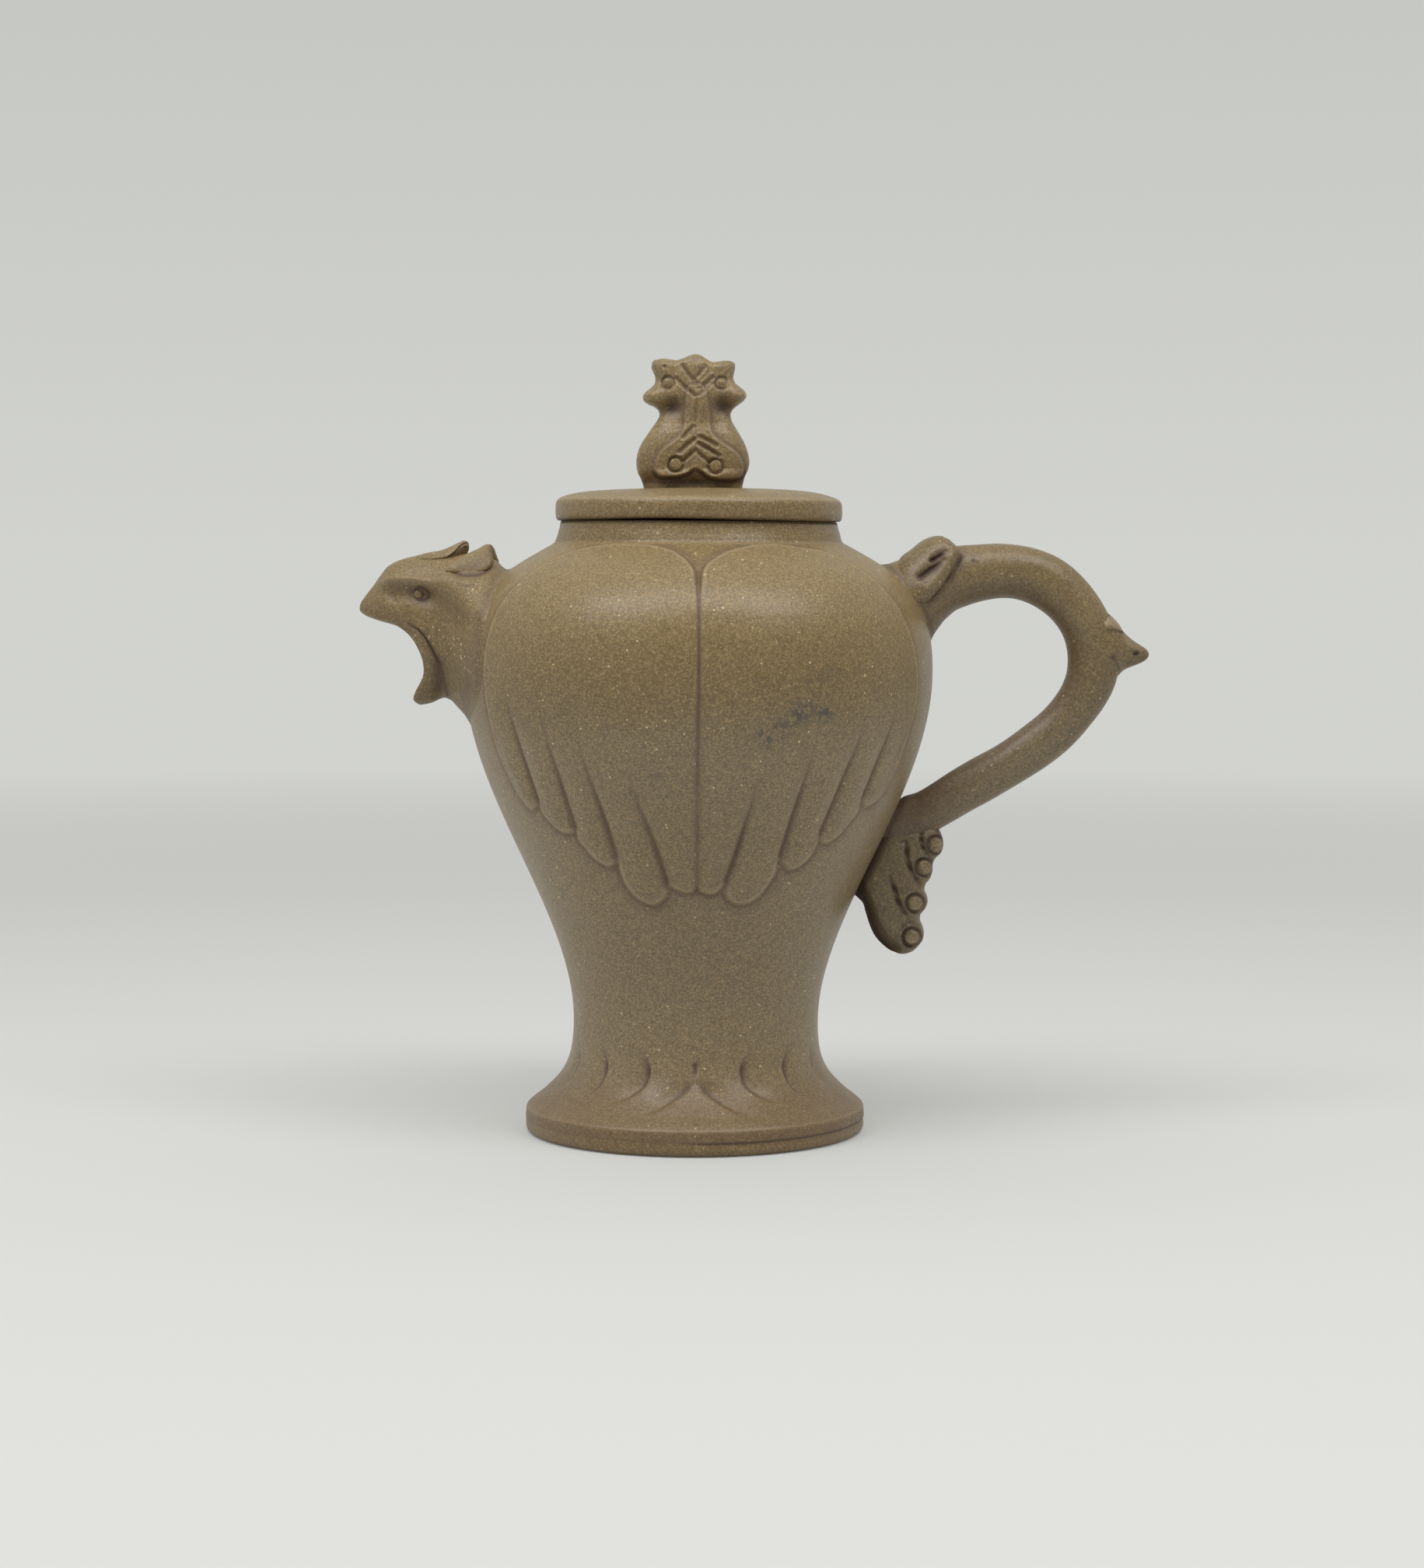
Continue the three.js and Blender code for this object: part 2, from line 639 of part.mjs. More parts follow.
function knob() {
  const seat = turned([[0, LID_BOTTOM], [LID_RADIUS, LID_BOTTOM], ...lidTopOutline(LUTE_GAP)]);
  return knobForm().subtract(seat);
}

function knobPellet(across, height, radius, side) {
  return pelletOn(KNOB_DEPTH / 2, side, KNOB_SHIFT + across, knobBase() + height, radius);
}

// The teapot

const teapot = new THREE.Group();
teapot.name = "teapot";

function add(group, name, body, material) {
  const mesh = new THREE.Mesh(geometryOf(body), material);
  mesh.name = name;
  group.add(mesh);
}

const pot = new THREE.Group();
teapot.add(pot);
add(pot, "base_disc", baseDisc(), CLAY);
add(pot, "foot_skirt", footSkirt(), CLAY);
const frontWings = wingSlab().add(wingSlab().mirror([1, 0, 0]));
const wall = potWall().add(frontWings).add(frontWings.mirror([0, 1, 0]));
add(pot, "waist_wall", wallPart(wall, -1), CLAY);
add(pot, "belly_wall", wallPart(wall, 1), CLAY);
add(pot, "neck_collar", neckCollar(), CLAY);
add(pot, "spout_head", spout(), CLAY);
add(pot, "spout_comb", spoutComb(), CLAY);
add(pot, "handle_loop", handleLoop(), CLAY);
add(pot, "handle_thorn", handleThorn(), CLAY);
add(pot, "handle_tail", tail(), CLAY);

const SIDES = { front: -1, back: 1 };
for (const [name, side] of Object.entries(SIDES)) {
  add(pot, `spout_eye_${name}`, spoutEye(side), PELLET_CLAY);
  add(pot, `spout_ear_${name}`, spoutEar(side), CLAY);
  add(pot, `handle_leaf_${name}`, handleLeaf(side), CLAY);
  TAIL_STUDS.forEach((stud, i) => add(pot, `tail_stud_${name}_${i + 1}`, tailStud(stud, side), PELLET_CLAY));
}

const lid = new THREE.Group();
teapot.add(lid);
add(lid, "lid_plate", lidPlate(), LID_CLAY);
add(lid, "lid_collar", lidCollar(), LID_CLAY);
add(lid, "knob", knob(), LID_CLAY);
for (const [name, side] of Object.entries(SIDES)) {
  for (const [hand, turn] of [["left", -1], ["right", 1]]) {
    const eye = knobPellet(turn * KNOB_EYE_SPACING, KNOB_EYE_HEIGHT, KNOB_EYE_RADIUS, side);
    add(lid, `knob_eye_${name}_${hand}`, eye, PELLET_CLAY);
    const stud = knobPellet(turn * KNOB_STUD_SPACING, KNOB_STUD_HEIGHT, KNOB_STUD_RADIUS, side);
    add(lid, `knob_stud_${name}_${hand}`, stud, PELLET_CLAY);
  }
}

export default teapot;
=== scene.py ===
# %% [markdown]
# # A winged-bird teapot in sandy clay
#
# The real pot is built by hand from unglazed stoneware: a tall body on a flared foot, a spout that is a bird's
# head, a looped handle that ends in a scalloped tail, and a lid whose knob is two birds back to back.
# Every piece here is a surface worked out with whole arrays of numbers: a profile turned about the pot's
# axis, a section carried along a path, a body stretched between two edge lines or, for the spout, a patch
# between four. Carving is then pressed into the surface by moving its points along their normals, as a
# potter's tool does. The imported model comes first, because every piece has to sit where its solid is.

import bpy
import numpy as np
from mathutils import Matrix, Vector


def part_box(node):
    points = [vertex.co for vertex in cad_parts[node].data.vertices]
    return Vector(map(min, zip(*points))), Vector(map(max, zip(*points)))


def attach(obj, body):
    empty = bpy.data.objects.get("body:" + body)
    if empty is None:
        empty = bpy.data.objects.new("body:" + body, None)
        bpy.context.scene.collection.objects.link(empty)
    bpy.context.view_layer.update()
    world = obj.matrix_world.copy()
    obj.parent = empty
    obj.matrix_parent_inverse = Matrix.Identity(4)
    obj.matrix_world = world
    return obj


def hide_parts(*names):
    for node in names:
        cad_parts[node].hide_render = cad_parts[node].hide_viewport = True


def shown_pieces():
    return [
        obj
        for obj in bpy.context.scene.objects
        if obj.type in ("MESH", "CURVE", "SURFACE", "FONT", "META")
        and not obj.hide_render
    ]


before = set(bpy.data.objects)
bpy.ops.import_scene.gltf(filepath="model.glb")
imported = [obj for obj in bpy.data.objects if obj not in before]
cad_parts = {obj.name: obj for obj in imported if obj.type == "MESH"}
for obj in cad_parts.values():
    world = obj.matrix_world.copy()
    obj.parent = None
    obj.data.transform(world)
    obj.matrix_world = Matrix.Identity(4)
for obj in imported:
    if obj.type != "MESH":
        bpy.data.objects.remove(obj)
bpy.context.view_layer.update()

# %% [markdown]
# All shapes below are written in millimetres, the unit a potter measures in, and are turned into metres only
# when a mesh is made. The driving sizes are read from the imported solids, so that the two can't drift apart.

# %% Driving sizes, in millimetres
MM = 0.001


def corners(node):
    """The node's lowest and highest corner in millimetres."""
    low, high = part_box(node)
    return np.array(low) / MM, np.array(high) / MM


FOOT_RADIUS = corners("base_disc")[1][0]
BASE_TOP = corners("base_disc")[1][2]
WAIST_LOW = corners("waist_wall")[0][2]
WAIST_TOP = corners("waist_wall")[1][2] + 0.2
BELLY_RADIUS = corners("belly_wall")[1][0]
SHOULDER = corners("belly_wall")[1][2]
LID_RADIUS = corners("lid_plate")[1][0]
LID_LOW = corners("lid_plate")[0][2]
LID_HIGH = corners("lid_plate")[1][2]
COLLAR_LOW, COLLAR_HIGH = corners("lid_collar")
BELLY_HEIGHT = 98.0
WAIST_RADIUS = 26.2
WALL = 3.4
MOUTH_RADIUS = 25.5
FOOT_LOW = BASE_TOP + 0.02  # where the base disc ends and the foot starts
SIDES = (("front", -1), ("back", 1))  # the two faces and the sign of y on them
print("foot", FOOT_RADIUS, "belly", BELLY_RADIUS, "shoulder", SHOULDER, "lid", LID_LOW, LID_HIGH)

# %% [markdown]
# ## Tools for lines
#
# Outlines are given as a few measured points. A smooth line through them could come from Blender's own curves,
# but as arrays they can be mixed with the other formulas. The same goes for a rounded section, and for spacing
# that crowds points where there is carving.

# %% Smooth lines and spacings


def fade(x, low, high):
    """0 below low and 1 above high; in between 3t^2 - 2t^3 of the share t."""
    t = np.clip((np.asarray(x, float) - low) / (high - low), 0, 1)
    return t * t * (3 - 2 * t)


def bell(x, width):
    """A bump of height 1 at x = 0 that falls off as exp(-(x / width)^2)."""
    return np.exp(-((np.asarray(x, float) / width) ** 2))


def most(*values):
    """The largest of several marks at each point."""
    return np.maximum.reduce(np.broadcast_arrays(*values))


def lengths(points):
    """How far along a line each of its points is."""
    return np.concatenate([[0], np.cumsum(np.linalg.norm(np.diff(points, axis=0), axis=1))])


def evenly(points, count):
    """The same line as count points at equal steps."""
    at = lengths(points)
    want = np.linspace(0, at[-1], count)
    return np.stack([np.interp(want, at, points[:, k]) for k in range(points.shape[1])], 1)


def through(at, values, want):
    """Rows of values at the places want, on a smooth curve that has given rows at given places. Each span is a
    cubic, and its slope at a place is that of the parabola through it and its two neighbours."""
    gap = np.diff(at)
    slope = np.diff(values, axis=0) / gap[:, None]
    turn = np.concatenate([slope[:1], slope, slope[-1:]])
    weight = np.concatenate([[1], gap, [1]])[:, None]
    tangent = (turn[:-1] * weight[1:] + turn[1:] * weight[:-1]) / (weight[:-1] + weight[1:])
    want = np.clip(want, at[0], at[-1])
    i = np.clip(np.searchsorted(at, want, side="right") - 1, 0, len(gap) - 1)
    t, h = ((want - at[i]) / gap[i])[:, None], gap[i][:, None]
    return (
        (1 + 2 * t) * (1 - t) ** 2 * values[i]
        + t * (1 - t) ** 2 * h * tangent[i]
        + t * t * (3 - 2 * t) * values[i + 1]
        - t * t * (1 - t) * h * tangent[i + 1]
    )


def smooth_line(points, count):
    """A smooth line through the points, as count points at equal steps."""
    p = np.asarray(points, float)
    at = lengths(p)
    return evenly(through(at, p, np.linspace(0, at[-1], 24 * len(p))), count)


def follow(x, *pairs):
    """A smooth curve through (x, value) pairs, read at x."""
    at, values = np.array(pairs, float).T
    return through(at, values[:, None], np.ravel(x))[:, 0].reshape(np.shape(x))


def bezier(a, b, c, d, count=60):
    """The curve (1-t)^3 a + 3(1-t)^2 t b + 3(1-t) t^2 c + t^3 d."""
    t = np.linspace(0, 1, count)[:, None]
    a, b, c, d = (np.array(p, float) for p in (a, b, c, d))
    return (1 - t) ** 3 * a + 3 * (1 - t) ** 2 * t * b + 3 * (1 - t) * t * t * c + t**3 * d


def spread(count, low, high, weight, closed=False):
    """count values from low to high that crowd together where weight(value) is large."""
    fine = np.linspace(low, high, 4000)
    heap = np.cumsum(weight(fine))
    heap = (heap - heap[0]) / (heap[-1] - heap[0])
    steps = (np.arange(count) + 0.5) / count if closed else np.linspace(0, 1, count)
    return np.interp(steps, heap, fine)


def rounded(count, squareness=2.0):
    """A closed section with x and y from -1 to 1, |x|^n + |y|^n = 1, at equal steps. n = 2 is a circle and
    larger values make its sides flatter."""
    a = np.linspace(0, 2 * np.pi, 2001)
    x = np.sign(np.cos(a)) * np.abs(np.cos(a)) ** (2 / squareness)
    y = np.sign(np.sin(a)) * np.abs(np.sin(a)) ** (2 / squareness)
    return evenly(np.stack([x, y], 1), count + 1)[:-1]


# %% [markdown]
# ## Tools for carving
#
# A groove is a line on the surface. How deep a point is pressed in depends only on its distance to that line,
# so the two questions asked of every carved line are how far away it is and on which side it lies.

# %% Distances to a carved line


def near(points, line, reach=1e6):
    """Each point's distance to a line of straight steps, the share of the line's length where it is nearest,
    and, for flat points, the side: positive to the left of the way the line runs. Points further than reach
    from the line's box aren't measured and get reach as their distance."""
    best, share, side = np.full(len(points), float(reach)), np.zeros(len(points)), np.ones(len(points))
    close = np.flatnonzero(((points > line.min(0) - reach) & (points < line.max(0) + reach)).all(1))
    spots = points[close]
    nearest, along, hand = np.full(len(close), float(reach)), np.zeros(len(close)), np.ones(len(close))
    at = lengths(line)
    for a, b, start in zip(line[:-1], line[1:], at[:-1]):
        step = b - a
        size = np.linalg.norm(step)
        t = np.clip((spots - a) @ step / size**2, 0, 1)
        off = spots - a - t[:, None] * step
        far = np.linalg.norm(off, axis=1)
        closer = far < nearest
        nearest[closer] = far[closer]
        along[closer] = ((start + t * size) / at[-1])[closer]
        if points.shape[1] == 2:
            hand[closer] = np.sign(step[0] * off[:, 1] - step[1] * off[:, 0])[closer]
    best[close], share[close], side[close] = nearest, along, hand
    return best, share, side


def within(points, outline):
    """Whether each flat point is inside the closed outline: a ray from it crosses the outline an odd number of
    times."""
    x, y = points.T
    odd = np.zeros(len(points), bool)
    for (xa, ya), (xb, yb) in zip(outline, np.roll(outline, -1, 0)):
        if ya != yb:
            odd ^= ((ya > y) != (yb > y)) & (x < xa + (y - ya) * (xb - xa) / (yb - ya))
    return odd


def inward(points, outline):
    """Distance to a closed outline, positive inside it."""
    outline = np.asarray(outline, float)
    far = near(points, np.concatenate([outline, outline[:1]]))[0]
    return np.where(within(points, outline), far, -far)


# %% [markdown]
# ## From a grid of points to a piece
#
# Each surface is a grid: rows run along the piece and columns run once round it. A grid whose rows come back
# to the start is a ring. Otherwise its first row is a single point, a pole, and its last row is either a pole
# too or a fold, where the front half of the row is welded to the back half. Blender has primitives and a screw
# modifier for such things, but a grid keeps every point at a known place, which carving needs.

# %% Grids and meshes
finish_of = {}


def grid_faces(rows, columns, ring=False, fold=False):
    """The four corners of every cell of a grid that closes round its columns, and round its rows if ring."""
    index = np.arange(rows * columns).reshape(rows, columns)
    if not ring:
        order = np.arange(columns)
        index[0] = index[0, 0]
        index[-1] = index[-1, np.minimum(order, -order % columns) if fold else 0]
    below = index if ring else index[:-1]
    above = np.roll(index, -1, 0) if ring else index[1:]
    return np.stack([below, np.roll(below, -1, 1), np.roll(above, -1, 1), above], -1)


def volume(points, faces):
    """The enclosed volume, from the triple product of each triangle's corners: negative if inside out."""
    a, b, c, d = (points[faces[..., k].ravel()] for k in range(4))
    return (np.einsum("ij,ij->", a, np.cross(b, c)) + np.einsum("ij,ij->", a, np.cross(c, d))) / 6


def normals(grid, ring=False):
    """Unit vectors square to both of the grid's directions at each point, outwards."""
    around = np.roll(grid, -1, 1) - np.roll(grid, 1, 1)
    along = np.roll(grid, -1, 0) - np.roll(grid, 1, 0) if ring else np.gradient(grid, axis=0)
    out = np.cross(around, along)
    out /= np.maximum(np.linalg.norm(out, axis=2, keepdims=True), 1e-9)
    return out * np.sign(volume(grid.reshape(-1, 3), grid_faces(*grid.shape[:2], ring)))


def full(values, shape):
    """Marks for the first rows, and zero for the rest."""
    out = np.zeros(shape)
    out[: len(values)] = values
    return out


def make_piece(name, grid, nodes, body="pot", slot=None, ring=False, fold=False, marks=None, holes=None,
               walls=None, finish=None):
    """Turns a grid in millimetres into a mesh in metres that rides on a body and stands for its nodes. marks
    are numbers for the grid's first rows that the finish reads, holes are cells left out and walls are extra
    faces. The slot is the body's clay, and the finish is the slot's, unless another is named."""
    slot = slot or f"{body}_clay"
    points = grid.reshape(-1, 3)
    cells = grid_faces(*grid.shape[:2], ring, fold)
    if volume(points, cells) < 0:
        cells = cells[..., ::-1]
        walls = None if walls is None else walls[:, ::-1]
    keep = np.ones(cells.shape[:2], bool) if holes is None else ~holes
    quads = cells[keep].reshape(-1, 4)
    if walls is not None:
        quads = np.concatenate([quads, walls])
    same = quads == np.roll(quads, -1, 1)
    whole = quads[~same.any(1)]
    pointed = quads[same.sum(1) == 1]
    triangles = pointed[~same[same.sum(1) == 1]].reshape(-1, 3)
    used, index = np.unique(np.concatenate([whole.ravel(), triangles.ravel()]), return_inverse=True)
    mesh = bpy.data.meshes.new(name)
    mesh.vertices.add(len(used))
    mesh.vertices.foreach_set("co", (points[used] * MM).astype(np.float32).ravel())
    mesh.loops.add(len(index))
    mesh.loops.foreach_set("vertex_index", index.astype(np.int32))
    starts = np.concatenate([np.arange(len(whole)) * 4, len(whole) * 4 + np.arange(len(triangles)) * 3])
    mesh.polygons.add(len(starts))
    mesh.polygons.foreach_set("loop_start", starts.astype(np.int32))
    mesh.update(calc_edges=True)
    mesh.shade_smooth()
    for key, values in (marks or {}).items():
        attribute = mesh.attributes.new(key, "FLOAT", "POINT")
        strength = np.clip(full(values, grid.shape[:2]), 0, 1).ravel()[used]
        attribute.data.foreach_set("value", strength.astype(np.float32))
    piece = bpy.data.objects.new(name, mesh)
    bpy.context.scene.collection.objects.link(piece)
    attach(piece, body)
    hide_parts(*nodes)
    finish_of[name] = finish or slot
    print(f"{name}: {2 * len(whole) + len(triangles)} triangles")
    return piece


# %% [markdown]
# ## The body's outline
#
# The body is a baluster: a flared foot, a narrow waist and a high round belly that turns in to the neck. Four
# cubic curves give it. The real pot was beaten and pulled by hand, so its axis leans a little to the handle's
# side on the way up, and its rings aren't quite round.

# %% Outline, lean and unevenness
RIM_TOP, WAIST, BELLY = (32.6, 8.3), (WAIST_RADIUS, 23.5), (BELLY_RADIUS, BELLY_HEIGHT)  # as (radius, height)
OUTLINE = np.concatenate([
    [[FOOT_RADIUS - 0.05, FOOT_LOW], [FOOT_RADIUS, 3.6], [FOOT_RADIUS - 0.2, 4.9]],
    bezier((FOOT_RADIUS - 0.75, 5.9), (FOOT_RADIUS - 1.6, 6.9), (33.7, 7.35), RIM_TOP, 40)[:-1],
    bezier(RIM_TOP, (28.2, 12.2), (WAIST_RADIUS, 14.8), WAIST, 200),
    bezier(WAIST, (WAIST_RADIUS, 46.6), (BELLY_RADIUS, 72), BELLY, 500)[1:],
    bezier(BELLY, (BELLY_RADIUS, 114.9), (43.0, 118.3), (31.2, SHOULDER), 400)[1:],
])
OUTLINE_AT = lengths(OUTLINE)
SUPPORT = 0.01  # how close to a seam the last row but one lies, so that the seam's shading stays flat


def lean(height):
    """How far the axis stands to +X at a height."""
    return np.interp(height, [0, 15, 45, 95, 128], [-0.3, -0.2, 0.1, 0.4, 0.6])


def unevenness(angle, height):
    """What the hand left on a ring's radius: a slight oval and a slower wobble that winds up the pot."""
    return 0.12 * np.cos(2 * angle + 0.9) + 0.09 * np.sin(3 * angle + height / 24)


def outline_radius(height):
    """The outline's radius at a height."""
    return np.interp(height, OUTLINE[:, 1], OUTLINE[:, 0])


def turned(profile, angles, uneven=1.0):
    """Turns (radius, height) pairs about the axis: x = r sin a, y = -r cos a, so that angle 0 is the front."""
    radius, height = profile[:, :1], profile[:, 1:]
    r = radius + uneven * unevenness(angles, height)
    x = r * np.sin(angles) + lean(height)
    return np.stack([x, -r * np.cos(angles), np.broadcast_to(height, x.shape)], 2)


def square_to(profile, angles):
    """Unit vectors square to a turned skin whose profile runs upwards: the profile's direction turned outwards
    by a right angle, then turned about the axis with it."""
    step = np.gradient(profile, axis=0)
    step /= np.linalg.norm(step, axis=1, keepdims=True)
    outwards, upwards = step[:, 1:], -step[:, :1]
    return np.stack([outwards * np.sin(angles), -outwards * np.cos(angles), upwards + 0 * angles], 2)


def depth_in_belly(points):
    """How far points lie outside (positive) or inside the belly's outer skin, measured square to it."""
    x, y, z = np.moveaxis(points, -1, 0)
    r = np.hypot(x - lean(z), y)
    slope = outline_radius(z + 0.5) - outline_radius(z - 0.5)
    return (r - outline_radius(z)) / np.sqrt(1 + slope**2)


def swell(depth, reach, outer):
    """How far a piece swells where it runs into another: a point at a depth d outside the other's skin moves to
    (d + sqrt(d^2 + reach^2)) / 2, dips under again a little further in, and is left alone beyond outer."""
    rise = (np.sqrt(depth**2 + reach**2) - depth) / 2 - 0.32 * reach * fade(-depth, 0, 2)
    return rise * fade(depth, -3.2, -1.6) * (1 - fade(depth, 1.5, outer))


def eased(grid, reach):
    """Lets a piece that runs into the belly swell square to the belly's skin. Returns the new points and the
    depth they had."""
    depth = depth_in_belly(grid)
    x, y, z = np.moveaxis(grid, -1, 0)
    slope = outline_radius(z + 0.5) - outline_radius(z - 0.5)
    square = np.stack([x - lean(z), y, -slope * np.hypot(x - lean(z), y)], -1)
    square /= np.maximum(np.linalg.norm(square, axis=-1, keepdims=True), 1e-9)
    return grid + swell(depth, reach, 6)[..., None] * square, depth


print("outline length", OUTLINE_AT[-1])

# %% [markdown]
# ## The wings
#
# Two folded wings lie on each face of the belly, in relief so low that only their edges and the grooves
# between the feathers show. They could be separate sheets laid on the belly, but on the real pot they are one
# skin with it, so they are carved into the same surface. Each wing is an outline in degrees from the front
# and height, and each groove a line that starts as nothing at its top and deepens towards the feather's tip.

# %% Wing lines as (degrees from the front, height)
LEFT_WING = [
    (-0.6, 119), (-2, 120.5), (-6, 122.5), (-12.9, 123.9), (-25.1, 124.5), (-37.3, 124.2), (-47.5, 122.8),
    (-52.8, 120.9), (-54.9, 118.4), (-56.5, 115.8), (-58.2, 113.1), (-59.2, 110.4), (-59.9, 107),
    (-60.6, 103.3), (-60.8, 99.1), (-60.6, 96), (-60.4, 92.9), (-60.3, 88.7), (-60, 83.7), (-59.3, 79.7),
    (-58, 76.7), (-56.7, 73.7), (-54.4, 71.4), (-51.6, 70.3), (-48.7, 71.2), (-48, 70.3), (-46.1, 68.5),
    (-43.6, 66.8), (-40, 66), (-37.1, 66.1), (-36.6, 64.9), (-34.8, 63), (-33, 61.2), (-30.3, 60),
    (-27.4, 59.3), (-24.8, 60.2), (-24.4, 57.7), (-23.1, 55.2), (-21.1, 53.3), (-18.2, 52.1), (-14.7, 51.5),
    (-11.3, 52.5), (-9.1, 54.2), (-8.4, 55.4), (-7, 55), (-5, 54.4), (-3, 54.3), (-1.2, 54.9), (-0.4, 55.8),
    (0.1, 62), (0.1, 78.5), (0.3, 94.1), (0.3, 106.4), (0.1, 115.6),
]
RIGHT_WING = [
    (0.8, 119.1), (2.2, 120.5), (6.1, 122.2), (15.1, 123.9), (28.3, 124.5), (38.5, 123.8), (49.1, 122.3),
    (52.9, 120.4), (55.3, 118.2), (56.9, 115.6), (58.6, 113.4), (60, 110.7), (61.7, 106.7), (63.4, 102.3),
    (64.4, 97.5), (64.8, 93.2), (64.7, 90.4), (64, 85.9), (63.2, 80), (61.7, 75.8), (59.6, 72.7), (55.9, 71),
    (53, 71), (50.5, 72.3), (50.8, 69.7), (48.8, 67.9), (47, 65.9), (44.2, 64.3), (41, 63.7), (38.2, 64.3),
    (37.9, 63), (37.2, 61.2), (35.1, 59.7), (32.2, 58.7), (29.5, 58.6), (26, 60.3), (25.6, 57.8),
    (23.8, 55.3), (21.4, 53.1), (18, 51.8), (14.9, 51.5), (11.6, 52.2), (9.4, 53.7), (8.8, 55.5), (7.6, 54.6),
    (5.8, 54), (3.6, 54), (1.8, 54.8), (0.6, 55.6), (0.1, 62), (0.1, 78.5), (0.3, 94.1), (0.3, 106.4),
    (0.3, 115.6),
]
FEATHER_GROOVES = [
    [(-51.4, 98.4), (-50.7, 93.3), (-49.9, 88), (-49.1, 82), (-48.5, 76.5), (-48.2, 71.3)],
    [(-39, 92.5), (-38.6, 88), (-38.1, 82.5), (-37.5, 77), (-37, 71.1), (-36.8, 66.2)],
    [(-29.4, 88.8), (-28.7, 83.3), (-28, 78.8), (-27.1, 74.2), (-26.2, 69.6), (-25.4, 64.9), (-24.8, 60.3)],
    [(-17.3, 81.5), (-16.5, 76.8), (-15.4, 73), (-14, 69.2), (-12.6, 65.2), (-11.1, 60.8), (-9.1, 55.2)],
    [(54.3, 93), (53.8, 87), (52.6, 81.1), (51.8, 76.9), (51.3, 74), (50.7, 72.2)],
    [(43.1, 91), (42.2, 84.6), (41.1, 79.8), (40.2, 74.4), (39.2, 69.9), (38.2, 65)],
    [(29.5, 87.4), (28.9, 82.5), (28.2, 77.4), (27.5, 71.8), (26.8, 66.6), (26, 60.5)],
    [(15.3, 79.6), (14.4, 73.7), (13.2, 68.1), (11.9, 62.8), (10.5, 59.1), (9.1, 55.5)],
]
SEAM = [(-0.2, 119.4), (0.1, 115.6), (0.3, 106.4), (0.3, 94.1), (0.1, 78.5), (0.1, 62.3), (0.1, 54.8)]
WING_RISE = 0.75  # how far the wings stand proud of the belly, in millimetres
GROOVE_DEPTH = 0.62
PILLOW_DEPTH = 0.65  # how far the feathers round off between two grooves
WING_REACH = 9.0  # further than this from a line nothing is carved


def on_belly(line, spacing=1.0):
    """A line of (degrees, height) laid on the belly's skin, as points in space and as flat ones."""
    flat = smooth_line(line, max(8, int(len(line) * 6)))
    angle, height = np.radians(flat[:, 0]), flat[:, 1]
    r = outline_radius(height)
    space = np.stack([r * np.sin(angle) + lean(height), -r * np.cos(angle), height], 1)
    count = max(4, int(lengths(space)[-1] / spacing))
    return evenly(space, count), evenly(flat, count)


def wing_relief(points, flat):
    """The wings' height above the belly, and for points on the front face three marks: painted shade in the
    grooves and the seam, a painted highlight along each crest, and rust with painted shade at the step's foot,
    outside the edge and along the grooves. Inside a wing's outline the skin is raised by a step with a thin
    valley at its foot and a thin crest. Every groove presses it in by a narrow bell and a wide one, in
    proportion to how far down the feather it has come."""
    edge = np.full(len(points), -WING_REACH)
    for outline in (LEFT_WING, RIGHT_WING):
        line, plan = on_belly(outline + outline[:1])
        far = near(points, line, WING_REACH)[0]
        edge = np.maximum(edge, np.where(within(flat, plan[:-1]), far, -far))
    low = 1 - fade(flat[:, 1], 74, 100)
    tips = 1 - fade(flat[:, 1], 60, 76)
    seam_far, seam_share, _ = near(points, on_belly(SEAM)[0], WING_REACH)
    seam = fade(seam_share, -0.01, 0.05)
    top = 1 - fade(seam_share, 0.05, 0.13)
    closed = seam * (1 - top) * bell(seam_far, 1.5)  # where the two wings meet in one line
    crest = edge + 0.6 * closed
    raised = WING_RISE * fade(crest, -0.45, 0.55 + 0.4 * low) + 0.12 * bell(crest - 0.9, 0.45)
    raised -= 0.16 * bell(crest + 0.4, 0.45)
    pillow = 0.7 * bell(np.maximum(edge, 0), 2.6) * low
    # Rust at the foot of the step and in a broad band outside the edge, partly rust and partly painted shade in
    # the valley.
    rust_and_shade = (0.95 - 0.35 * low + 0.25 * tips) * bell(crest + 0.4, 0.5 + 0.12 * tips)
    rust_and_shade = np.maximum(rust_and_shade, (0.5 - 0.25 * low) * bell(edge + 1.3, 1.1) * (1 - closed))
    painted_shade = np.zeros(len(points))
    for groove in FEATHER_GROOVES:
        far, share, _ = near(points, on_belly(groove)[0], WING_REACH)
        strength = fade(share, -0.02, 0.7) * (1 - 0.3 * fade(share, 0.94, 1))
        raised -= GROOVE_DEPTH * strength * bell(far, 0.42 + 0.4 * share)
        pillow = np.maximum(pillow, strength * bell(far, 2.7))
        rust_and_shade = np.maximum(rust_and_shade, strength**0.6 * bell(far, 0.38 + 0.34 * share))
        # Painted shade in the groove.
        painted_shade = np.maximum(painted_shade, 0.3 * strength * bell(far, 0.32))
    raised -= seam * (0.38 - 0.24 * top) * bell(seam_far, 0.36 + 0.25 * top + 0.3 * low)
    rust_and_shade = np.maximum(rust_and_shade, seam * (1 - 0.3 * top - 0.25 * low) * bell(seam_far - 0.6 * top, 0.46 + 0.3 * low))
    painted_shade = np.maximum(painted_shade, 0.3 * seam * (1 - top) * (1 - 0.7 * low) * bell(seam_far, 0.3))
    raised -= PILLOW_DEPTH * pillow * fade(edge, -0.3, 0.6)
    # The third value returned is a painted highlight along each crest.
    return raised, painted_shade, bell(crest - 0.8, 0.38) * (0.85 + 0.15 * low) * (1 - 0.8 * closed), rust_and_shade


print("grooves", len(FEATHER_GROOVES))

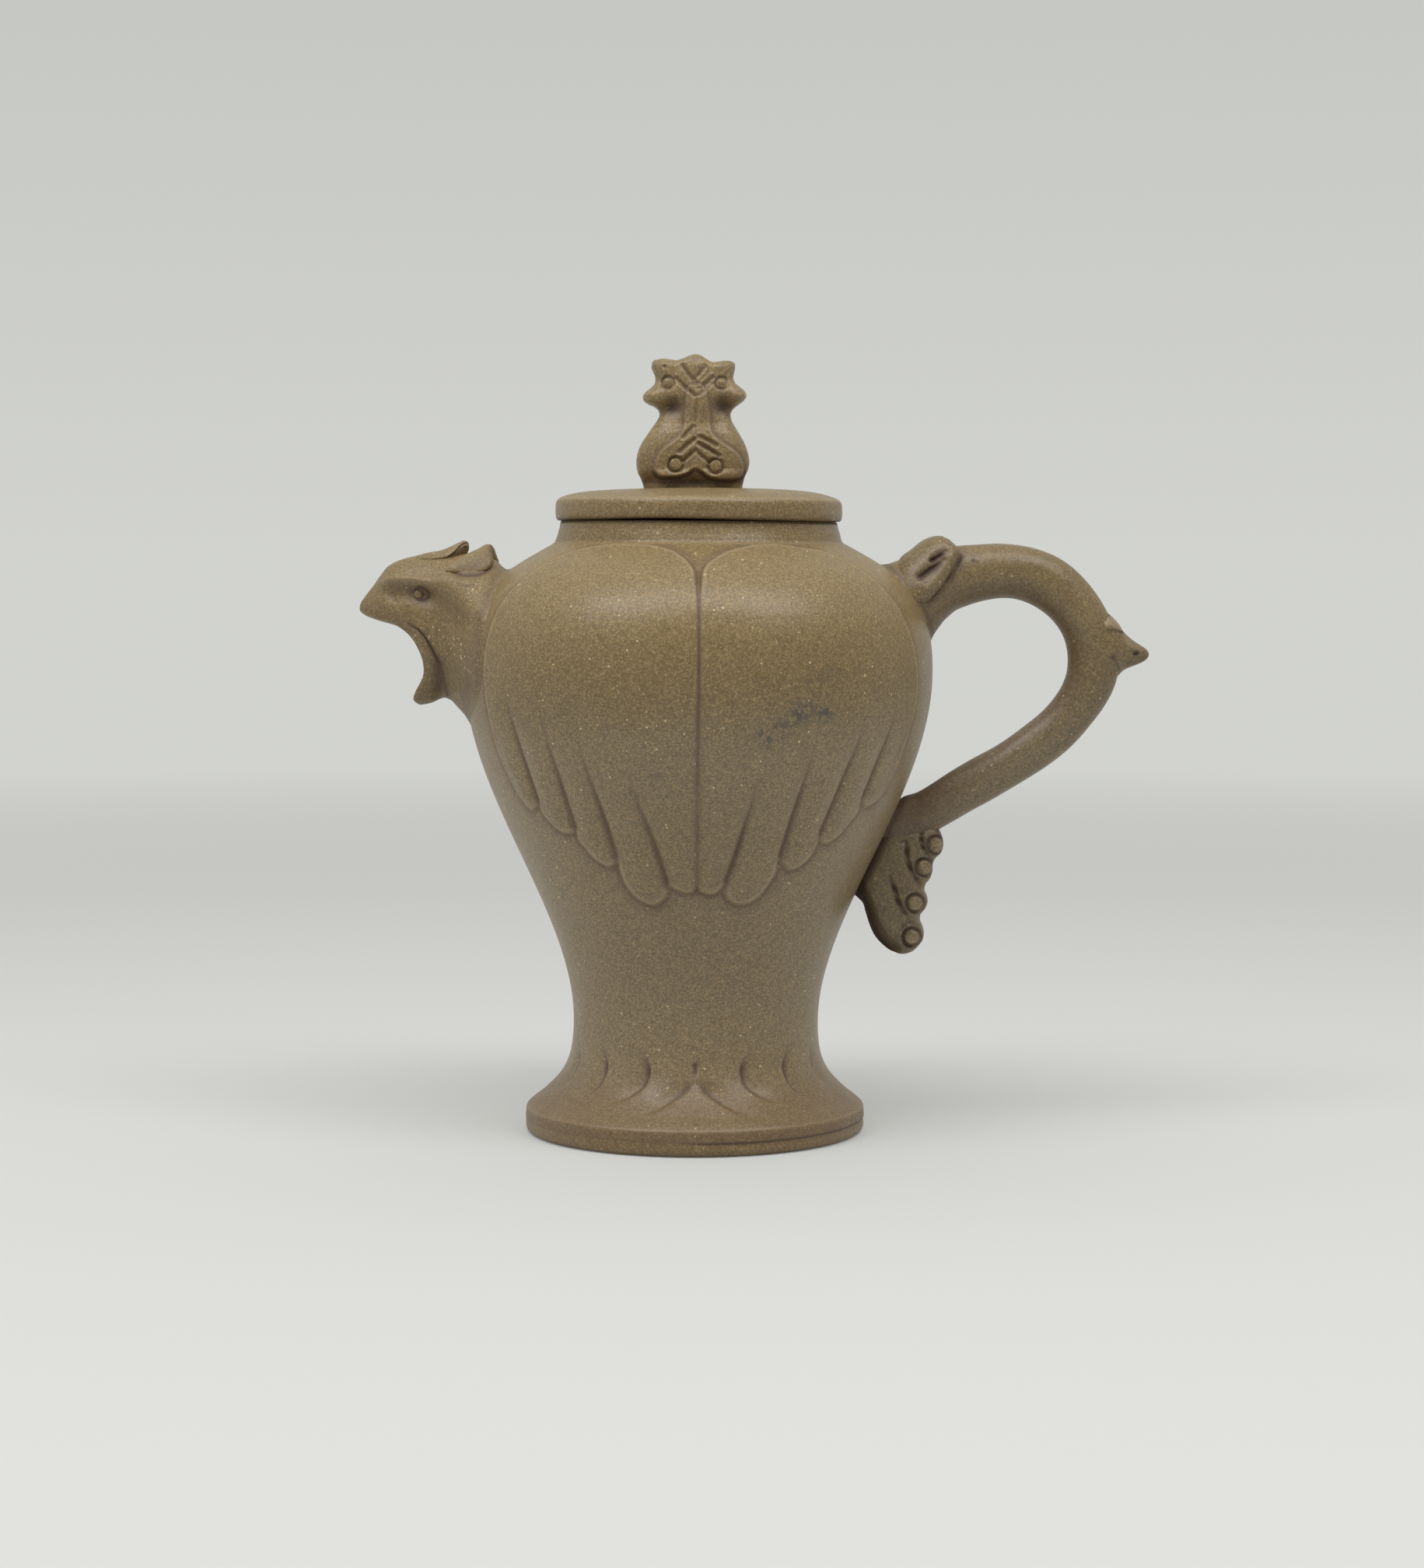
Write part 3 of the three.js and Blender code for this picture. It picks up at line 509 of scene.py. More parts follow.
# %% [markdown]
# The belly's grid has columns crowded on the two faces, where the wings are, and rows crowded at the tips of
# the feathers and at the wings' upper edges. The back carries the same wings mirrored, so the relief is worked
# out for the front half alone and used twice. The belly's wall is cut in two at a level ring, so that neither
# mesh is too heavy, and each closes over its own inner face. Both halves have the same points on the cut, and
# a row very close to it keeps the shading from turning there, so no line shows. The waist's plain course of
# clay is a piece of its own below them.

# %% Belly and waist
COLUMNS = 880
BELLY_CUT = 90.0
STREAK = [(16.8, 87.0), (19.5, 88.0), (22.3, 89.7), (25.2, 91.8), (28.0, 92.8), (31.0, 91.2)]
UPPER_STREAK = [(26.5, 97.4), (30.0, 98.8), (34.0, 99.2)]
SCRATCH = [(-11.2, 78.9), (-9.8, 79.2), (-8.6, 79.1)]


def face_crowding(angle):
    """1 on the faces and less on the two sides, where the spout and the handle are."""
    away = np.abs((np.degrees(angle) + 90) % 180 - 90)
    return 1 - 0.6 * fade(away, 66, 76)


half = spread(COLUMNS // 2, -np.pi / 2, np.pi / 2, face_crowding, closed=True)
ANGLES = np.concatenate([half, half + np.pi])


def outer_rows(low, high, count, weight=lambda h: np.ones_like(h)):
    """count points of the outline between two heights, spaced along its length, with one more close to each
    end."""
    at_low, at_high = np.interp([low, high], OUTLINE[:, 1], OUTLINE_AT)
    crowding = lambda s: weight(np.interp(s, OUTLINE_AT, OUTLINE[:, 1]))
    at = spread(count, at_low + SUPPORT, at_high - SUPPORT, crowding)
    at = np.concatenate([[at_low], at, [at_high]])
    return np.stack([np.interp(at, OUTLINE_AT, OUTLINE[:, k]) for k in (0, 1)], 1)


def offset_in(profile, distance):
    """The profile moved towards the axis side by a distance, square to its own direction."""
    direction = np.gradient(profile, axis=0)
    direction /= np.linalg.norm(direction, axis=1, keepdims=True)
    return profile + distance * np.stack([-direction[:, 1], direction[:, 0]], 1)


def wall_section(low, high, count, weight=lambda h: np.ones_like(h), inner_count=12):
    """The closed section of a wall between two level cuts: up its outer side and down its inner side."""
    outer = outer_rows(low, high, count, weight)
    inner = offset_in(outer_rows(low, high, inner_count), WALL)[::-1]
    inner[:, 1] = np.clip(inner[:, 1], low, high)
    return outer, inner


def smudges(points):
    """Dark marks that the fire left on the right wing, a streak in scattered patches and a fainter one above
    it, and a scratch on the left wing."""
    away = lambda line: near(points, on_belly(line)[0], WING_REACH)
    far, share, _ = away(STREAK)
    thick = 0.78 + 0.22 * np.cos(share * 13 - 1)
    upper, scratch = bell(away(UPPER_STREAK)[0], 1.6), bell(away(SCRATCH)[0], 0.5)
    return most(thick * bell(far, 2.4), 0.38 * upper, 0.7 * scratch)


def winged(name, outer, rest):
    """A part of the belly: its outer rows carry the wings on both faces."""
    grid = turned(np.concatenate([outer, rest]), ANGLES)
    count, columns = len(outer), COLUMNS // 2
    front = grid[:count, :columns].reshape(-1, 3)
    flat = np.stack(np.broadcast_arrays(np.degrees(half)[None], outer[:, 1:]), 2).reshape(-1, 2)
    relief, painted_shade, wear_and_highlight, rust_and_shade = (value.reshape(count, columns) for value in wing_relief(front, flat))
    smoke = smudges(front).reshape(count, columns)
    both = lambda values: np.concatenate([values, values[:, ::-1]], 1)
    grid[:count] += square_to(outer, ANGLES) * both(relief)[..., None]
    marks = {"shade_and_stain": both(painted_shade), "wear_and_highlight": both(wear_and_highlight), "rust_and_shade": both(rust_and_shade),
             "smudge": np.concatenate([smoke, 0 * smoke], 1)}
    make_piece(name, grid, ["belly_wall"], ring=True, marks=marks)


tips_rows = lambda h: 0.45 + 0.55 * fade(h, 49.5, 51) * (1 - fade(h, 68, 76))
winged("belly_lower", *wall_section(WAIST_TOP, BELLY_CUT, 94, tips_rows))
top_rows = lambda h: 0.4 + 0.6 * fade(h, 114, 118)
outer, inner = wall_section(BELLY_CUT, SHOULDER, 90, top_rows)
mouth = [[30.4, SHOULDER + 0.2], [MOUTH_RADIUS, SHOULDER + 0.2], [MOUTH_RADIUS, SHOULDER - WALL]]
winged("belly_upper", outer, np.concatenate([mouth, inner[inner[:, 1] < SHOULDER - WALL - 0.3]]))

waist_wall = np.concatenate(wall_section(WAIST_LOW, WAIST_TOP, 24))
make_piece("waist", turned(waist_wall, ANGLES[::2]), ["waist_wall"], ring=True)

# %% [markdown]
# ## The foot
#
# The foot flares out to a soft rim. Above the rim a row of short flutes sweeps outwards from the middle of
# each face, as more feathers would. Each flute ends in a curved line that is sharp on its lower side and
# rounds off on its upper side, so the carving depends on the side of the line as well as on the distance.

# %% Foot
FOOT_LINES = [  # each line as (degrees, height), its depth and the width of the hollow above it
    ([(0, 18.4), (0, 16.6), (0, 15.2), (0, 14.0)], 0.9, 0.5),
    ([(0, 14.2), (4.0, 12.6), (9.0, 10.9), (13.8, 9.3), (18.2, 8.2), (22, 7.6)], 0.85, 2.2),
    ([(22.6, 18.8), (20.6, 16.3), (21.6, 13.9), (24.6, 12.2), (28.7, 10.8), (33, 9.9), (37, 9.3)], 1.0, 2.3),
    ([(45.2, 18.9), (43.4, 15.9), (44.2, 13.2), (46.5, 11.3), (50, 9.9), (54, 9.1)], 0.95, 2.3),
    ([(67.5, 18.6), (66, 15.7), (67, 13), (69.5, 11), (73, 9.8)], 0.6, 2.2),
]
FLUTE_DEPTH = 0.72
RIM_EDGE = 5.3


def foot_relief(angle, height):
    """Presses each flute line in: on its lower side within a quarter of a millimetre, on its upper side over
    two, deepest at the top. Painted shade is laid in the hollow at a line's upper end, darkest there, and as a
    thin dark line below it."""
    flat = np.stack([angle * outline_radius(height), height * 1.25], -1).reshape(-1, 2)
    pressed, hollow_shade, painted_shade = (np.zeros(len(flat)) for _ in range(3))
    for points, strength, reach in FOOT_LINES:
        plan = smooth_line(points, 30)
        line = np.stack([np.radians(plan[:, 0]) * outline_radius(plan[:, 1]), plan[:, 1] * 1.25], 1)
        far, share, side = near(flat, line)
        ends = strength * (1 - fade(share, 0.45, 1)) * (0.3 + 0.7 * fade(share, 0, 0.2))
        above = side > 0
        pressed = np.maximum(pressed, ends * (1 - 0.3 * share) * bell(far, np.where(above, reach, 0.4)))
        top = 1 - fade(share, 0.1, 0.55)
        hollow_shade = np.maximum(hollow_shade, ends * bell(far, np.where(above, 0.35 + 0.4 * reach * top, 0.3)))
        narrow = bell(far, np.where(above, 0.25 + 0.25 * reach * top, 0.18))
        painted_shade = np.maximum(painted_shade, ends * narrow * (0.35 + 0.4 * top))
    return (value.reshape(angle.shape) for value in (pressed, hollow_shade, painted_shade))


flute_rows = lambda h: 0.5 + 0.5 * fade(h, 5, 7) * (1 - fade(h, 18, 20))
foot_outer = outer_rows(FOOT_LOW, WAIST_LOW, 96, flute_rows)
foot_rows = len(foot_outer)
foot_inner = offset_in(foot_outer, WALL)[::-6]
foot_inner = foot_inner[(foot_inner[:, 1] > BASE_TOP + 1.5) & (foot_inner[:, 1] < WAIST_LOW)]
foot_profile = np.concatenate([
    foot_outer, [[WAIST_RADIUS - WALL, WAIST_LOW]], foot_inner,
    [[FOOT_RADIUS - WALL - 1, FOOT_LOW], [FOOT_RADIUS - 0.5, FOOT_LOW]],
])
FOOT_ANGLES = ANGLES[::2]
foot = turned(foot_profile, FOOT_ANGLES)
fold = np.abs((FOOT_ANGLES + np.pi / 2) % np.pi - np.pi / 2)
folded, heights = np.broadcast_arrays(fold[None], foot_outer[:, 1:])
pressed, foot_hollow_shade, foot_shade = foot_relief(folded, heights)
rim_line = 0.2 * bell(heights - RIM_EDGE, 0.55) - 0.08 * bell(heights - RIM_EDGE - 1.6, 1.2)
foot[:foot_rows] += square_to(foot_outer, FOOT_ANGLES) * (rim_line - FLUTE_DEPTH * pressed)[..., None]
open_joint = fade(FOOT_ANGLES, -0.1, 0.15) * (1 - fade(FOOT_ANGLES, 1.6, 1.9))  # where the base's joint gapes
hairline = (0.15 + 0.85 * open_joint) * bell(heights - BASE_TOP, 0.22)
# Darker towards the bottom of the foot, and painted shade on the rim's upright face below its edge.
darker_low_foot = 0.5 * (1 - fade(heights, 8, 18)) + 0.15 * (1 - fade(heights, 3.7, RIM_EDGE))
foot_marks = {
    "rust_and_shade": np.maximum(foot_hollow_shade, darker_low_foot),
    "shade_and_stain": np.maximum(0.75 * foot_shade, 0.6 * hairline),
    # A painted highlight along the rim's edge.
    "wear_and_highlight": 0.85 * bell(heights - RIM_EDGE - 0.1, 0.24),
}
make_piece("foot", foot, ["foot_skirt"], ring=True, marks=foot_marks)

# %% [markdown]
# The base is a disc luted under the foot, its lower edge rounded so that the pot seems to float on its shadow.
# The joint shows as a hairline. Rings of trimming marks are left on the underside, too shallow to rock on.

# %% Base disc
rim = bezier((FOOT_RADIUS - 1.9, 0), (FOOT_RADIUS - 0.6, 0), (FOOT_RADIUS - 0.1, 0.5),
             (FOOT_RADIUS - 0.05, 1.7), 12)
under = np.stack([np.linspace(0, FOOT_RADIUS - 2.0, 60), np.zeros(60)], 1)
under[1:-3, 1] = 0.06 + 0.05 * np.sin(under[1:-3, 0] * 1.9)
base_profile = np.concatenate([
    under, rim, [[FOOT_RADIUS - 0.05, height] for height in (BASE_TOP - 0.25, BASE_TOP, FOOT_LOW)],
    [[FOOT_RADIUS - 4, FOOT_LOW], [0, FOOT_LOW]],
])
base = turned(base_profile, FOOT_ANGLES, uneven=np.minimum(base_profile[:, :1] / FOOT_RADIUS, 1))
base_heights = np.broadcast_to(base_profile[:, 1:], base.shape[:2])
base[..., :2] *= 1 - 0.007 * (open_joint * fade(base_heights, 1.2, BASE_TOP))[..., None]
base_joint = 0.5 * open_joint * bell(base_heights - BASE_TOP, 0.12)
# Painted contact shadow along the base's lower edge; the joint is a dark hairline.
base_marks = {"shade_and_stain": np.maximum(base_joint, 0.85 * bell(base_heights, 0.4)),
              "rust_and_shade": np.full(base.shape[:2], 0.4)}
make_piece("base", base, ["base_disc"], marks=base_marks)

# %% [markdown]
# ## Neck and lid
#
# The neck is a short collar with a hollow curve at its foot, wiped smooth with a wet cloth. It could be a
# plain ring, but its upper edge has to follow the lid, which lies a little askew, and so it is tilted row by
# row.

# %% Neck
LID_TILT = 0.0065  # the lid lies this much lower for each millimetre towards the handle
neck_outer = smooth_line([
    (32.4, SHOULDER - 1.0), (31.6, SHOULDER - 0.35), (31.1, SHOULDER + 0.05), (30.7, SHOULDER + 0.35),
    (30.4, SHOULDER + 0.8), (30.2, SHOULDER + 1.4), (29.9, SHOULDER + 2.4), (29.55, SHOULDER + 3.6),
    (29.4, LID_LOW - 0.5),
], 34)
neck_profile = np.concatenate([
    neck_outer,
    bezier((29.38, LID_LOW - 0.5), (29.3, LID_LOW - 0.08), (29.2, LID_LOW - 0.03), (28.8, LID_LOW - 0.03), 6),
    bezier((MOUTH_RADIUS + 0.5, LID_LOW - 0.03), (MOUTH_RADIUS, LID_LOW - 0.03), (MOUTH_RADIUS, LID_LOW - 0.1),
           (MOUTH_RADIUS, LID_LOW - 0.7), 6),
    [[MOUTH_RADIUS, SHOULDER - 1], [28, SHOULDER - 1.4]],
])
neck = turned(neck_profile, ANGLES[::2])
wave = 0.16 * np.sin(3 * ANGLES[::2] + 1) * bell(neck_profile[:, 1:] - SHOULDER - 0.8, 1.0)
neck += normals(neck, ring=True) * wave[..., None]
neck[..., 2] -= LID_TILT * neck[..., 0] * fade(neck[..., 2], SHOULDER + 1, LID_LOW)
neck_heights = np.broadcast_to(neck_profile[:, 1:], neck.shape[:2])
# A painted highlight along the foot of the neck and painted shade in the band under the lid.
neck_marks = {"wear_and_highlight": 0.5 * bell(neck_heights - SHOULDER - 0.2, 0.25),
              "shade_and_stain": 0.45 * bell(neck_heights - LID_LOW, 0.5)}
make_piece("neck", neck, ["neck_collar"], ring=True, marks=neck_marks, finish="lid_clay")

# %% [markdown]
# The lid is a thick plate with a low dome. Its rim is nearly upright with a soft upper corner, and it doesn't
# lie quite true: the dark gap under it swells and thins. A small vent behind the knob goes right through. A
# boolean would leave long thin faces round it, so a patch of the grid is bent until its cells fit a circle,
# those cells are left out above and below, and a wall joins the two rings.

# %% Lid
DOME = [(0, 0), (12, 0.25), (20.5, 0.6), (24.6, 1.0), (27.5, 1.6), (29.2, 2.15)]  # radius and drop from the top
LID_CORNER = LID_HIGH - 4.2
VENT_AT, VENT_RADIUS = 15.0, 1.1
VENT_CELLS, VENT_PATCH = 6, 10

inner_radii = spread(60, 0, DOME[-1][0], lambda r: 0.4 + 2.2 * bell(r - VENT_AT, 2.2) + 0.8 * fade(r, 24, 28))
top_rows = np.stack([inner_radii, LID_HIGH - follow(inner_radii, *DOME)], 1)
corner = bezier(top_rows[-1], (LID_RADIUS - 0.45, LID_HIGH - 2.6), (LID_RADIUS, LID_HIGH - 3.0),
                (LID_RADIUS, LID_CORNER), 12)[1:]
skirt = np.array([
    [LID_RADIUS + 0.03, LID_CORNER - 1.0], [LID_RADIUS, LID_LOW + 1.2], [LID_RADIUS - 0.1, LID_LOW + 0.5],
    [LID_RADIUS - 0.4, LID_LOW + 0.1], [LID_RADIUS - 0.9, LID_LOW],
])
low_rows = np.stack([inner_radii, np.full(len(inner_radii), LID_LOW)], 1)[::-1]
lid_profile = np.concatenate([top_rows, corner, skirt, low_rows])
lid_half = spread(COLUMNS // 8 * 2, 0, np.pi, lambda a: 0.45 + 2.6 * bell(a - np.pi, 0.13))
lid_angles = np.concatenate([lid_half, -lid_half[-2:0:-1]])
lid = turned(lid_profile, lid_angles, uneven=np.minimum(lid_profile[:, :1] / LID_RADIUS, 1))


def fit_vent(sheet, row, column):
    """Bends the square patch of cells round the vent until its rings are circles: a point on a square ring of
    half-width q cells goes to distance q / n times the vent's radius, in the direction it had."""
    rows = np.arange(row - VENT_PATCH, row + VENT_PATCH + 1)
    columns = np.arange(column - VENT_PATCH, column + VENT_PATCH + 1)
    patch = sheet[np.ix_(rows, columns)]
    centre = patch[VENT_PATCH, VENT_PATCH].copy()
    i, j = np.meshgrid(rows - row, columns - column, indexing="ij")
    q = np.maximum(np.abs(i), np.abs(j))
    away = patch[..., :2] - centre[:2]
    round_turn = np.arctan2(away[..., 1], away[..., 0])
    r = VENT_RADIUS * q / VENT_CELLS
    circle = np.stack([r * np.cos(round_turn), r * np.sin(round_turn)], -1)
    keep = fade(q, VENT_CELLS, VENT_PATCH)[..., None]
    patch[..., :2] = centre[:2] + circle * (1 - keep) + away * keep
    sheet[np.ix_(rows, columns)] = patch


vent_column = int(np.argmin(np.abs(lid_angles - np.pi)))
vent_row = int(np.argmin(np.abs(top_rows[:, 0] - VENT_AT)))
vent_below = len(lid_profile) - 1 - vent_row
fit_vent(lid, vent_row, vent_column)
fit_vent(lid, vent_below, vent_column)
holes = np.zeros((len(lid_profile) - 1, len(lid_angles)), bool)
for row in (vent_row, vent_below):
    holes[row - VENT_CELLS:row + VENT_CELLS, vent_column - VENT_CELLS:vent_column + VENT_CELLS] = True


def square_loop(row, column, turn):
    """The grid points round the square hole, in order; turn is -1 below, where rows run the other way."""
    n = VENT_CELLS
    side = np.arange(-n, n)
    i = np.concatenate([np.full(2 * n, -n), side, np.full(2 * n, n), -side])
    j = np.concatenate([side, np.full(2 * n, n), -side, np.full(2 * n, -n)])
    return (row + turn * i) * len(lid_angles) + column + j


upper = square_loop(vent_row, vent_column, 1)
lower = square_loop(vent_below, vent_column, -1)
vent_wall = np.stack([upper, lower, np.roll(lower, -1), np.roll(upper, -1)], 1)[:, ::-1]
rim_share = fade(np.hypot(lid[..., 0], lid[..., 1]), LID_RADIUS * 0.6, LID_RADIUS)
lid[..., 2] -= LID_TILT * lid[..., 0] * rim_share
gap_wave = 0.42 * bell(lid_angles + 0.25, 0.42) + 0.05 * np.sin(lid_angles * 5 - 0.4)
low_share = 1 - fade(lid[..., 2], LID_LOW, LID_LOW + 2.2)
lid[..., 2] += gap_wave * low_share * rim_share
lid_heights = np.broadcast_to(lid_profile[:, 1:], lid.shape[:2])
# A painted highlight along the rim's upper corner and painted shade in the gap under the rim.
lid_marks = {"wear_and_highlight": 0.85 * bell(lid_heights - LID_HIGH + 2.55, 0.35) * rim_share,
             "shade_and_stain": 0.7 * bell(lid_heights - LID_LOW, 0.22) * rim_share}
make_piece("lid", lid, ["lid_plate"], "lid", marks=lid_marks, holes=holes, walls=vent_wall)
# %% [markdown]
# A short tube of clay under the lid reaches into the mouth, so that the lid can't slide off. It is a closed
# ring turned from its own section, with its lower edge rounded, and its top is sunk a little into the lid.

# %% Collar under the lid
COLLAR_WALL = 2.5
COLLAR_SUNK = 0.25
outer_r = COLLAR_HIGH[0] - 0.1
inner_r = outer_r - COLLAR_WALL
low_z, high_z = COLLAR_LOW[2], COLLAR_HIGH[2] + COLLAR_SUNK
collar_profile = np.concatenate([
    [[outer_r, high_z]],
    bezier((outer_r, low_z + 1.4), (outer_r, low_z + 0.4), (outer_r - 0.5, low_z), (outer_r - 1.1, low_z), 8),
    bezier((inner_r + 0.9, low_z), (inner_r + 0.2, low_z), (inner_r, low_z + 0.3), (inner_r, low_z + 1), 6),
    [[inner_r, high_z]],
])
collar = turned(collar_profile, ANGLES[::4])
make_piece("collar", collar, ["lid_collar"], "lid", ring=True)

# %% [markdown]
# ## Bodies between two edge lines
#
# The small modelled pieces, such as the tail, the ears and the knob, are known by their side view. A body is
# stretched between the two edge lines of that view: at each share of their length a rounded section runs from
# one edge to the other and swells to both faces. Carving is then pressed into the faces alone.

# %% Plates
# Where the photograph was taken from: how far in front of the axis and how high above the table
SEEN_FROM, EYE_HEIGHT = 711.0, 124.07


def plate(left, right, rows, columns, thickness, squareness=2.6, middle=((0, 0), (1, 0)), ends=0.0):
    """P(v, t) = middle of the two edges + half their distance times the section's x + thickness times its y.
    left and right are lines of (x, z); thickness and middle are pairs of (share, value) for the half depth and
    the sideways place. ends crowds the rows at both ends, where the body closes to a point."""
    v = np.linspace(0, 1, rows)
    v = v * (1 - ends) + ends * (1 - np.cos(np.pi * v)) / 2
    a, b = (smooth_line(line, 800) for line in (left, right))
    a, b = (np.stack([np.interp(v, np.linspace(0, 1, 800), line[:, k]) for k in (0, 1)], 1) for line in (a, b))
    section = rounded(columns, squareness)
    mid, half_way = (a + b) / 2, (b - a) / 2
    flat = mid[:, None] + half_way[:, None] * section[None, :, :1]
    y = follow(v, *middle)[:, None] - follow(v, *thickness)[:, None] * section[None, :, 1]
    face = np.broadcast_to(np.sign(-section[:, 1]) * fade(np.abs(section[:, 1]), 0.35, 0.85), y.shape)
    return np.stack([flat[..., 0], y, flat[..., 1]], 2), face, v


def carve_faces(grid, face, height):
    """Moves the points of both faces out (positive) by height, less towards the edges."""
    grid[..., 1] += face * height


def side_view(grid):
    """Where each point is seen against the pot's middle plane: nearer points spread away from the eye's height
    and the axis by D / (D - |y|). The lines below were measured in that plane."""
    nearer = SEEN_FROM / (SEEN_FROM - np.abs(grid[..., 1]))
    x, z = grid[..., 0] * nearer, EYE_HEIGHT + (grid[..., 2] - EYE_HEIGHT) * nearer
    return np.stack([x, z], -1).reshape(-1, 2)


def off_plane(grid):
    """The reverse: moves a piece drawn in the middle plane so that it is seen there from its own depth."""
    share = 1 - np.abs(grid[..., 1]) / SEEN_FROM
    grid[..., 0] *= share
    grid[..., 2] = EYE_HEIGHT + (grid[..., 2] - EYE_HEIGHT) * share


def carved_line(grid, line, count=40):
    """Distance, share and side of a carved line for every point of a grid, seen from the side."""
    return [value.reshape(grid.shape[:2]) for value in near(side_view(grid), smooth_line(line, count))]


def trace(grid, line, width, count=40):
    """A bell across a carved line."""
    return bell(carved_line(grid, line, count)[0], width)


def side_far(grid, at):
    """How far each point is from one place of the side view."""
    return np.linalg.norm(side_view(grid) - at, axis=1).reshape(grid.shape[:2])


def spot(grid, at, radius):
    """A bell round one place of the side view."""
    return bell(side_far(grid, at), radius)


def one_side(grid, at, turn):
    """1 where a point lies in the direction turn from a place, 0 opposite: (1 + cos(direction - turn)) / 2."""
    x, z = (side_view(grid) - at).T
    return (0.5 + 0.5 * np.cos(np.arctan2(z, x) - turn)).reshape(grid.shape[:2])


# %% [markdown]
# ## The spout
#
# The spout is a bird's head with an open beak. Seen from the side it lies between four lines: the crown, the
# throat, the joint with the belly and the open lip. A patch is blended between the four (the sum of the two
# pairs of opposite lines, less the flat patch between the corners) and then given its width, wide and flaring
# at the belly and narrow at the beak. The same grid turns in at the lip and runs back as the hollow channel.

# %% Lines of the bird's head, as (x, z)
CROWN = [
    (-35, 118.6), (-38, 118.9), (-39.8, 119.2), (-41.2, 120.2), (-42.3, 121.3), (-43.5, 121.9),
    (-45.5, 122.3), (-47.3, 122.7), (-48.5, 123.1), (-50, 123.2), (-52, 123.0), (-54, 122.85),
    (-57.5, 122.75), (-60.8, 122.2), (-63.1, 121.5), (-65.3, 120.35), (-66.95, 118.4), (-68.5, 116.2),
    (-70.3, 113.95), (-71.4, 112.1), (-71.5, 111.3),
]
THROAT = [
    (-42, 84), (-46, 86.4), (-48.1, 88.1), (-50.2, 90.0), (-52.4, 92.0), (-53.6, 92.4), (-54.6, 92.1),
    (-56.1, 91.4), (-57.7, 91.0), (-59.0, 90.95), (-59.6, 91.3),
]
LIP = [
    (-71.5, 111.3), (-71.0, 110.9), (-70.0, 110.5), (-67.7, 109.7), (-65.2, 109.0), (-62.5, 107.6),
    (-60.2, 105.6), (-58.7, 103.2), (-57.7, 100.3), (-57.6, 97.7), (-58.6, 95.2), (-59.6, 93.4),
    (-60.0, 92.0), (-59.6, 91.3),
]
ROOT = [(-35, 118.6), (-38.5, 110), (-41.5, 102), (-43, 93), (-42, 84)]
SPOUT_WIDTH = [
    (0, 23), (0.15, 20.6), (0.29, 17.3), (0.37, 15.0), (0.46, 12.7), (0.6, 10.0), (0.76, 8.4), (0.9, 7.3),
    (1, 6.2),
]
BORE_HEIGHT, BORE_RADIUS = 101.6, 4.0
SPOUT_ROWS, SPOUT_COLUMNS = 190, 250
EYE_AT = (-58.9, 114.4)
BROW = [(-69.2, 114.4), (-67.0, 116.5), (-64.6, 117.4), (-60.4, 117.3), (-57, 116.8), (-53.5, 116.1)]
MOUTH_LINE = [
    (-63.0, 111.6), (-62.2, 109.2), (-60.8, 107.8), (-59.2, 106.8), (-57.9, 105.4), (-56.9, 103.9),
    (-56.0, 102.2), (-55.2, 100.6), (-54.5, 99.2), (-54.1, 97.2), (-53.7, 95.2), (-53.0, 93.0),
]
CHIN_HOLLOW = [(-54.9, 99.3), (-54.7, 97.2), (-54.5, 95.4), (-54.6, 94.2)]
CHEEK_CREASE = [(-50.6, 116.3), (-49.4, 116.0), (-48.3, 116.0), (-47.3, 116.4)]
EAR_CREASE = [(-51.4, 119.1), (-49.6, 118.5), (-48.0, 118.5), (-46.1, 118.7), (-44.5, 119.4)]
SAND_PATCH = [(-56.6, 106.2), (-53.8, 105.8), (-51.3, 104.6), (-49.6, 101.5), (-48.4, 98.8)]
SHOULDER_SAND = [(-46.4, 116.0), (-47.6, 112.5), (-48.6, 108.6)]

# %% [markdown]
# The skin and the channel are one closed surface, because a hole cut with a boolean would leave a ragged lip.
# The skin swells a little where it meets the belly, as the potter smooths the joint with wet clay. The brow
# and the cheek's hump are then pulled up, and the socket of the eye, the corner of the mouth and the creases
# pressed in.

# %% Spout
BEAK_LOW = 106.0  # the lip above this height is the beak's edge
CHEEK = [(-56.0, 113.4), (-53.4, 111.6), (-50.9, 108.8)]
HUMP = [(-53.5, 117.2), (-49.5, 114.6), (-46.5, 111.0)]


def four_sided(crown, throat, root, lip, s, d):
    """(1-s) root(d) + s lip(d) + (1-d) crown(s) + d throat(s), less the corners' bilinear patch."""
    c, t = (smooth_line(line, 400) for line in (crown, throat))
    r, e = (smooth_line(line, 400) for line in (root, lip))
    ruler = np.linspace(0, 1, 400)
    at = lambda line, q: np.stack([np.interp(q, ruler, line[:, k]) for k in (0, 1)], -1)
    s_, d_ = s[..., None], d[..., None]
    flat = (1 - d_) * ((1 - s_) * r[0] + s_ * e[0]) + d_ * ((1 - s_) * r[-1] + s_ * e[-1])
    return (1 - s_) * at(r, d) + s_ * at(e, d) + (1 - d_) * at(c, s) + d_ * at(t, s) - flat


round_turn = np.linspace(0, 2 * np.pi, SPOUT_COLUMNS, endpoint=False)
drop = (1 - np.cos(round_turn)) / 2
s = np.linspace(0, 1, SPOUT_ROWS)
S, D = np.meshgrid(s, drop, indexing="ij")
T = np.broadcast_to(round_turn, S.shape)
skin = four_sided(CROWN, THROAT, ROOT, LIP, S, D)
pointed = 1 + 0.55 * fade(S, 0.7, 1) * (1 - D) - 0.25 * bell(S - 0.62, 0.2) * (1 - D)
y = -follow(s, *SPOUT_WIDTH)[:, None] * np.sign(np.sin(T)) * np.abs(np.sin(T)) ** pointed
outer_skin, proud = eased(np.stack([skin[..., 0], y, skin[..., 1]], 2), 0.9 + 0.9 * np.abs(np.sin(T)))

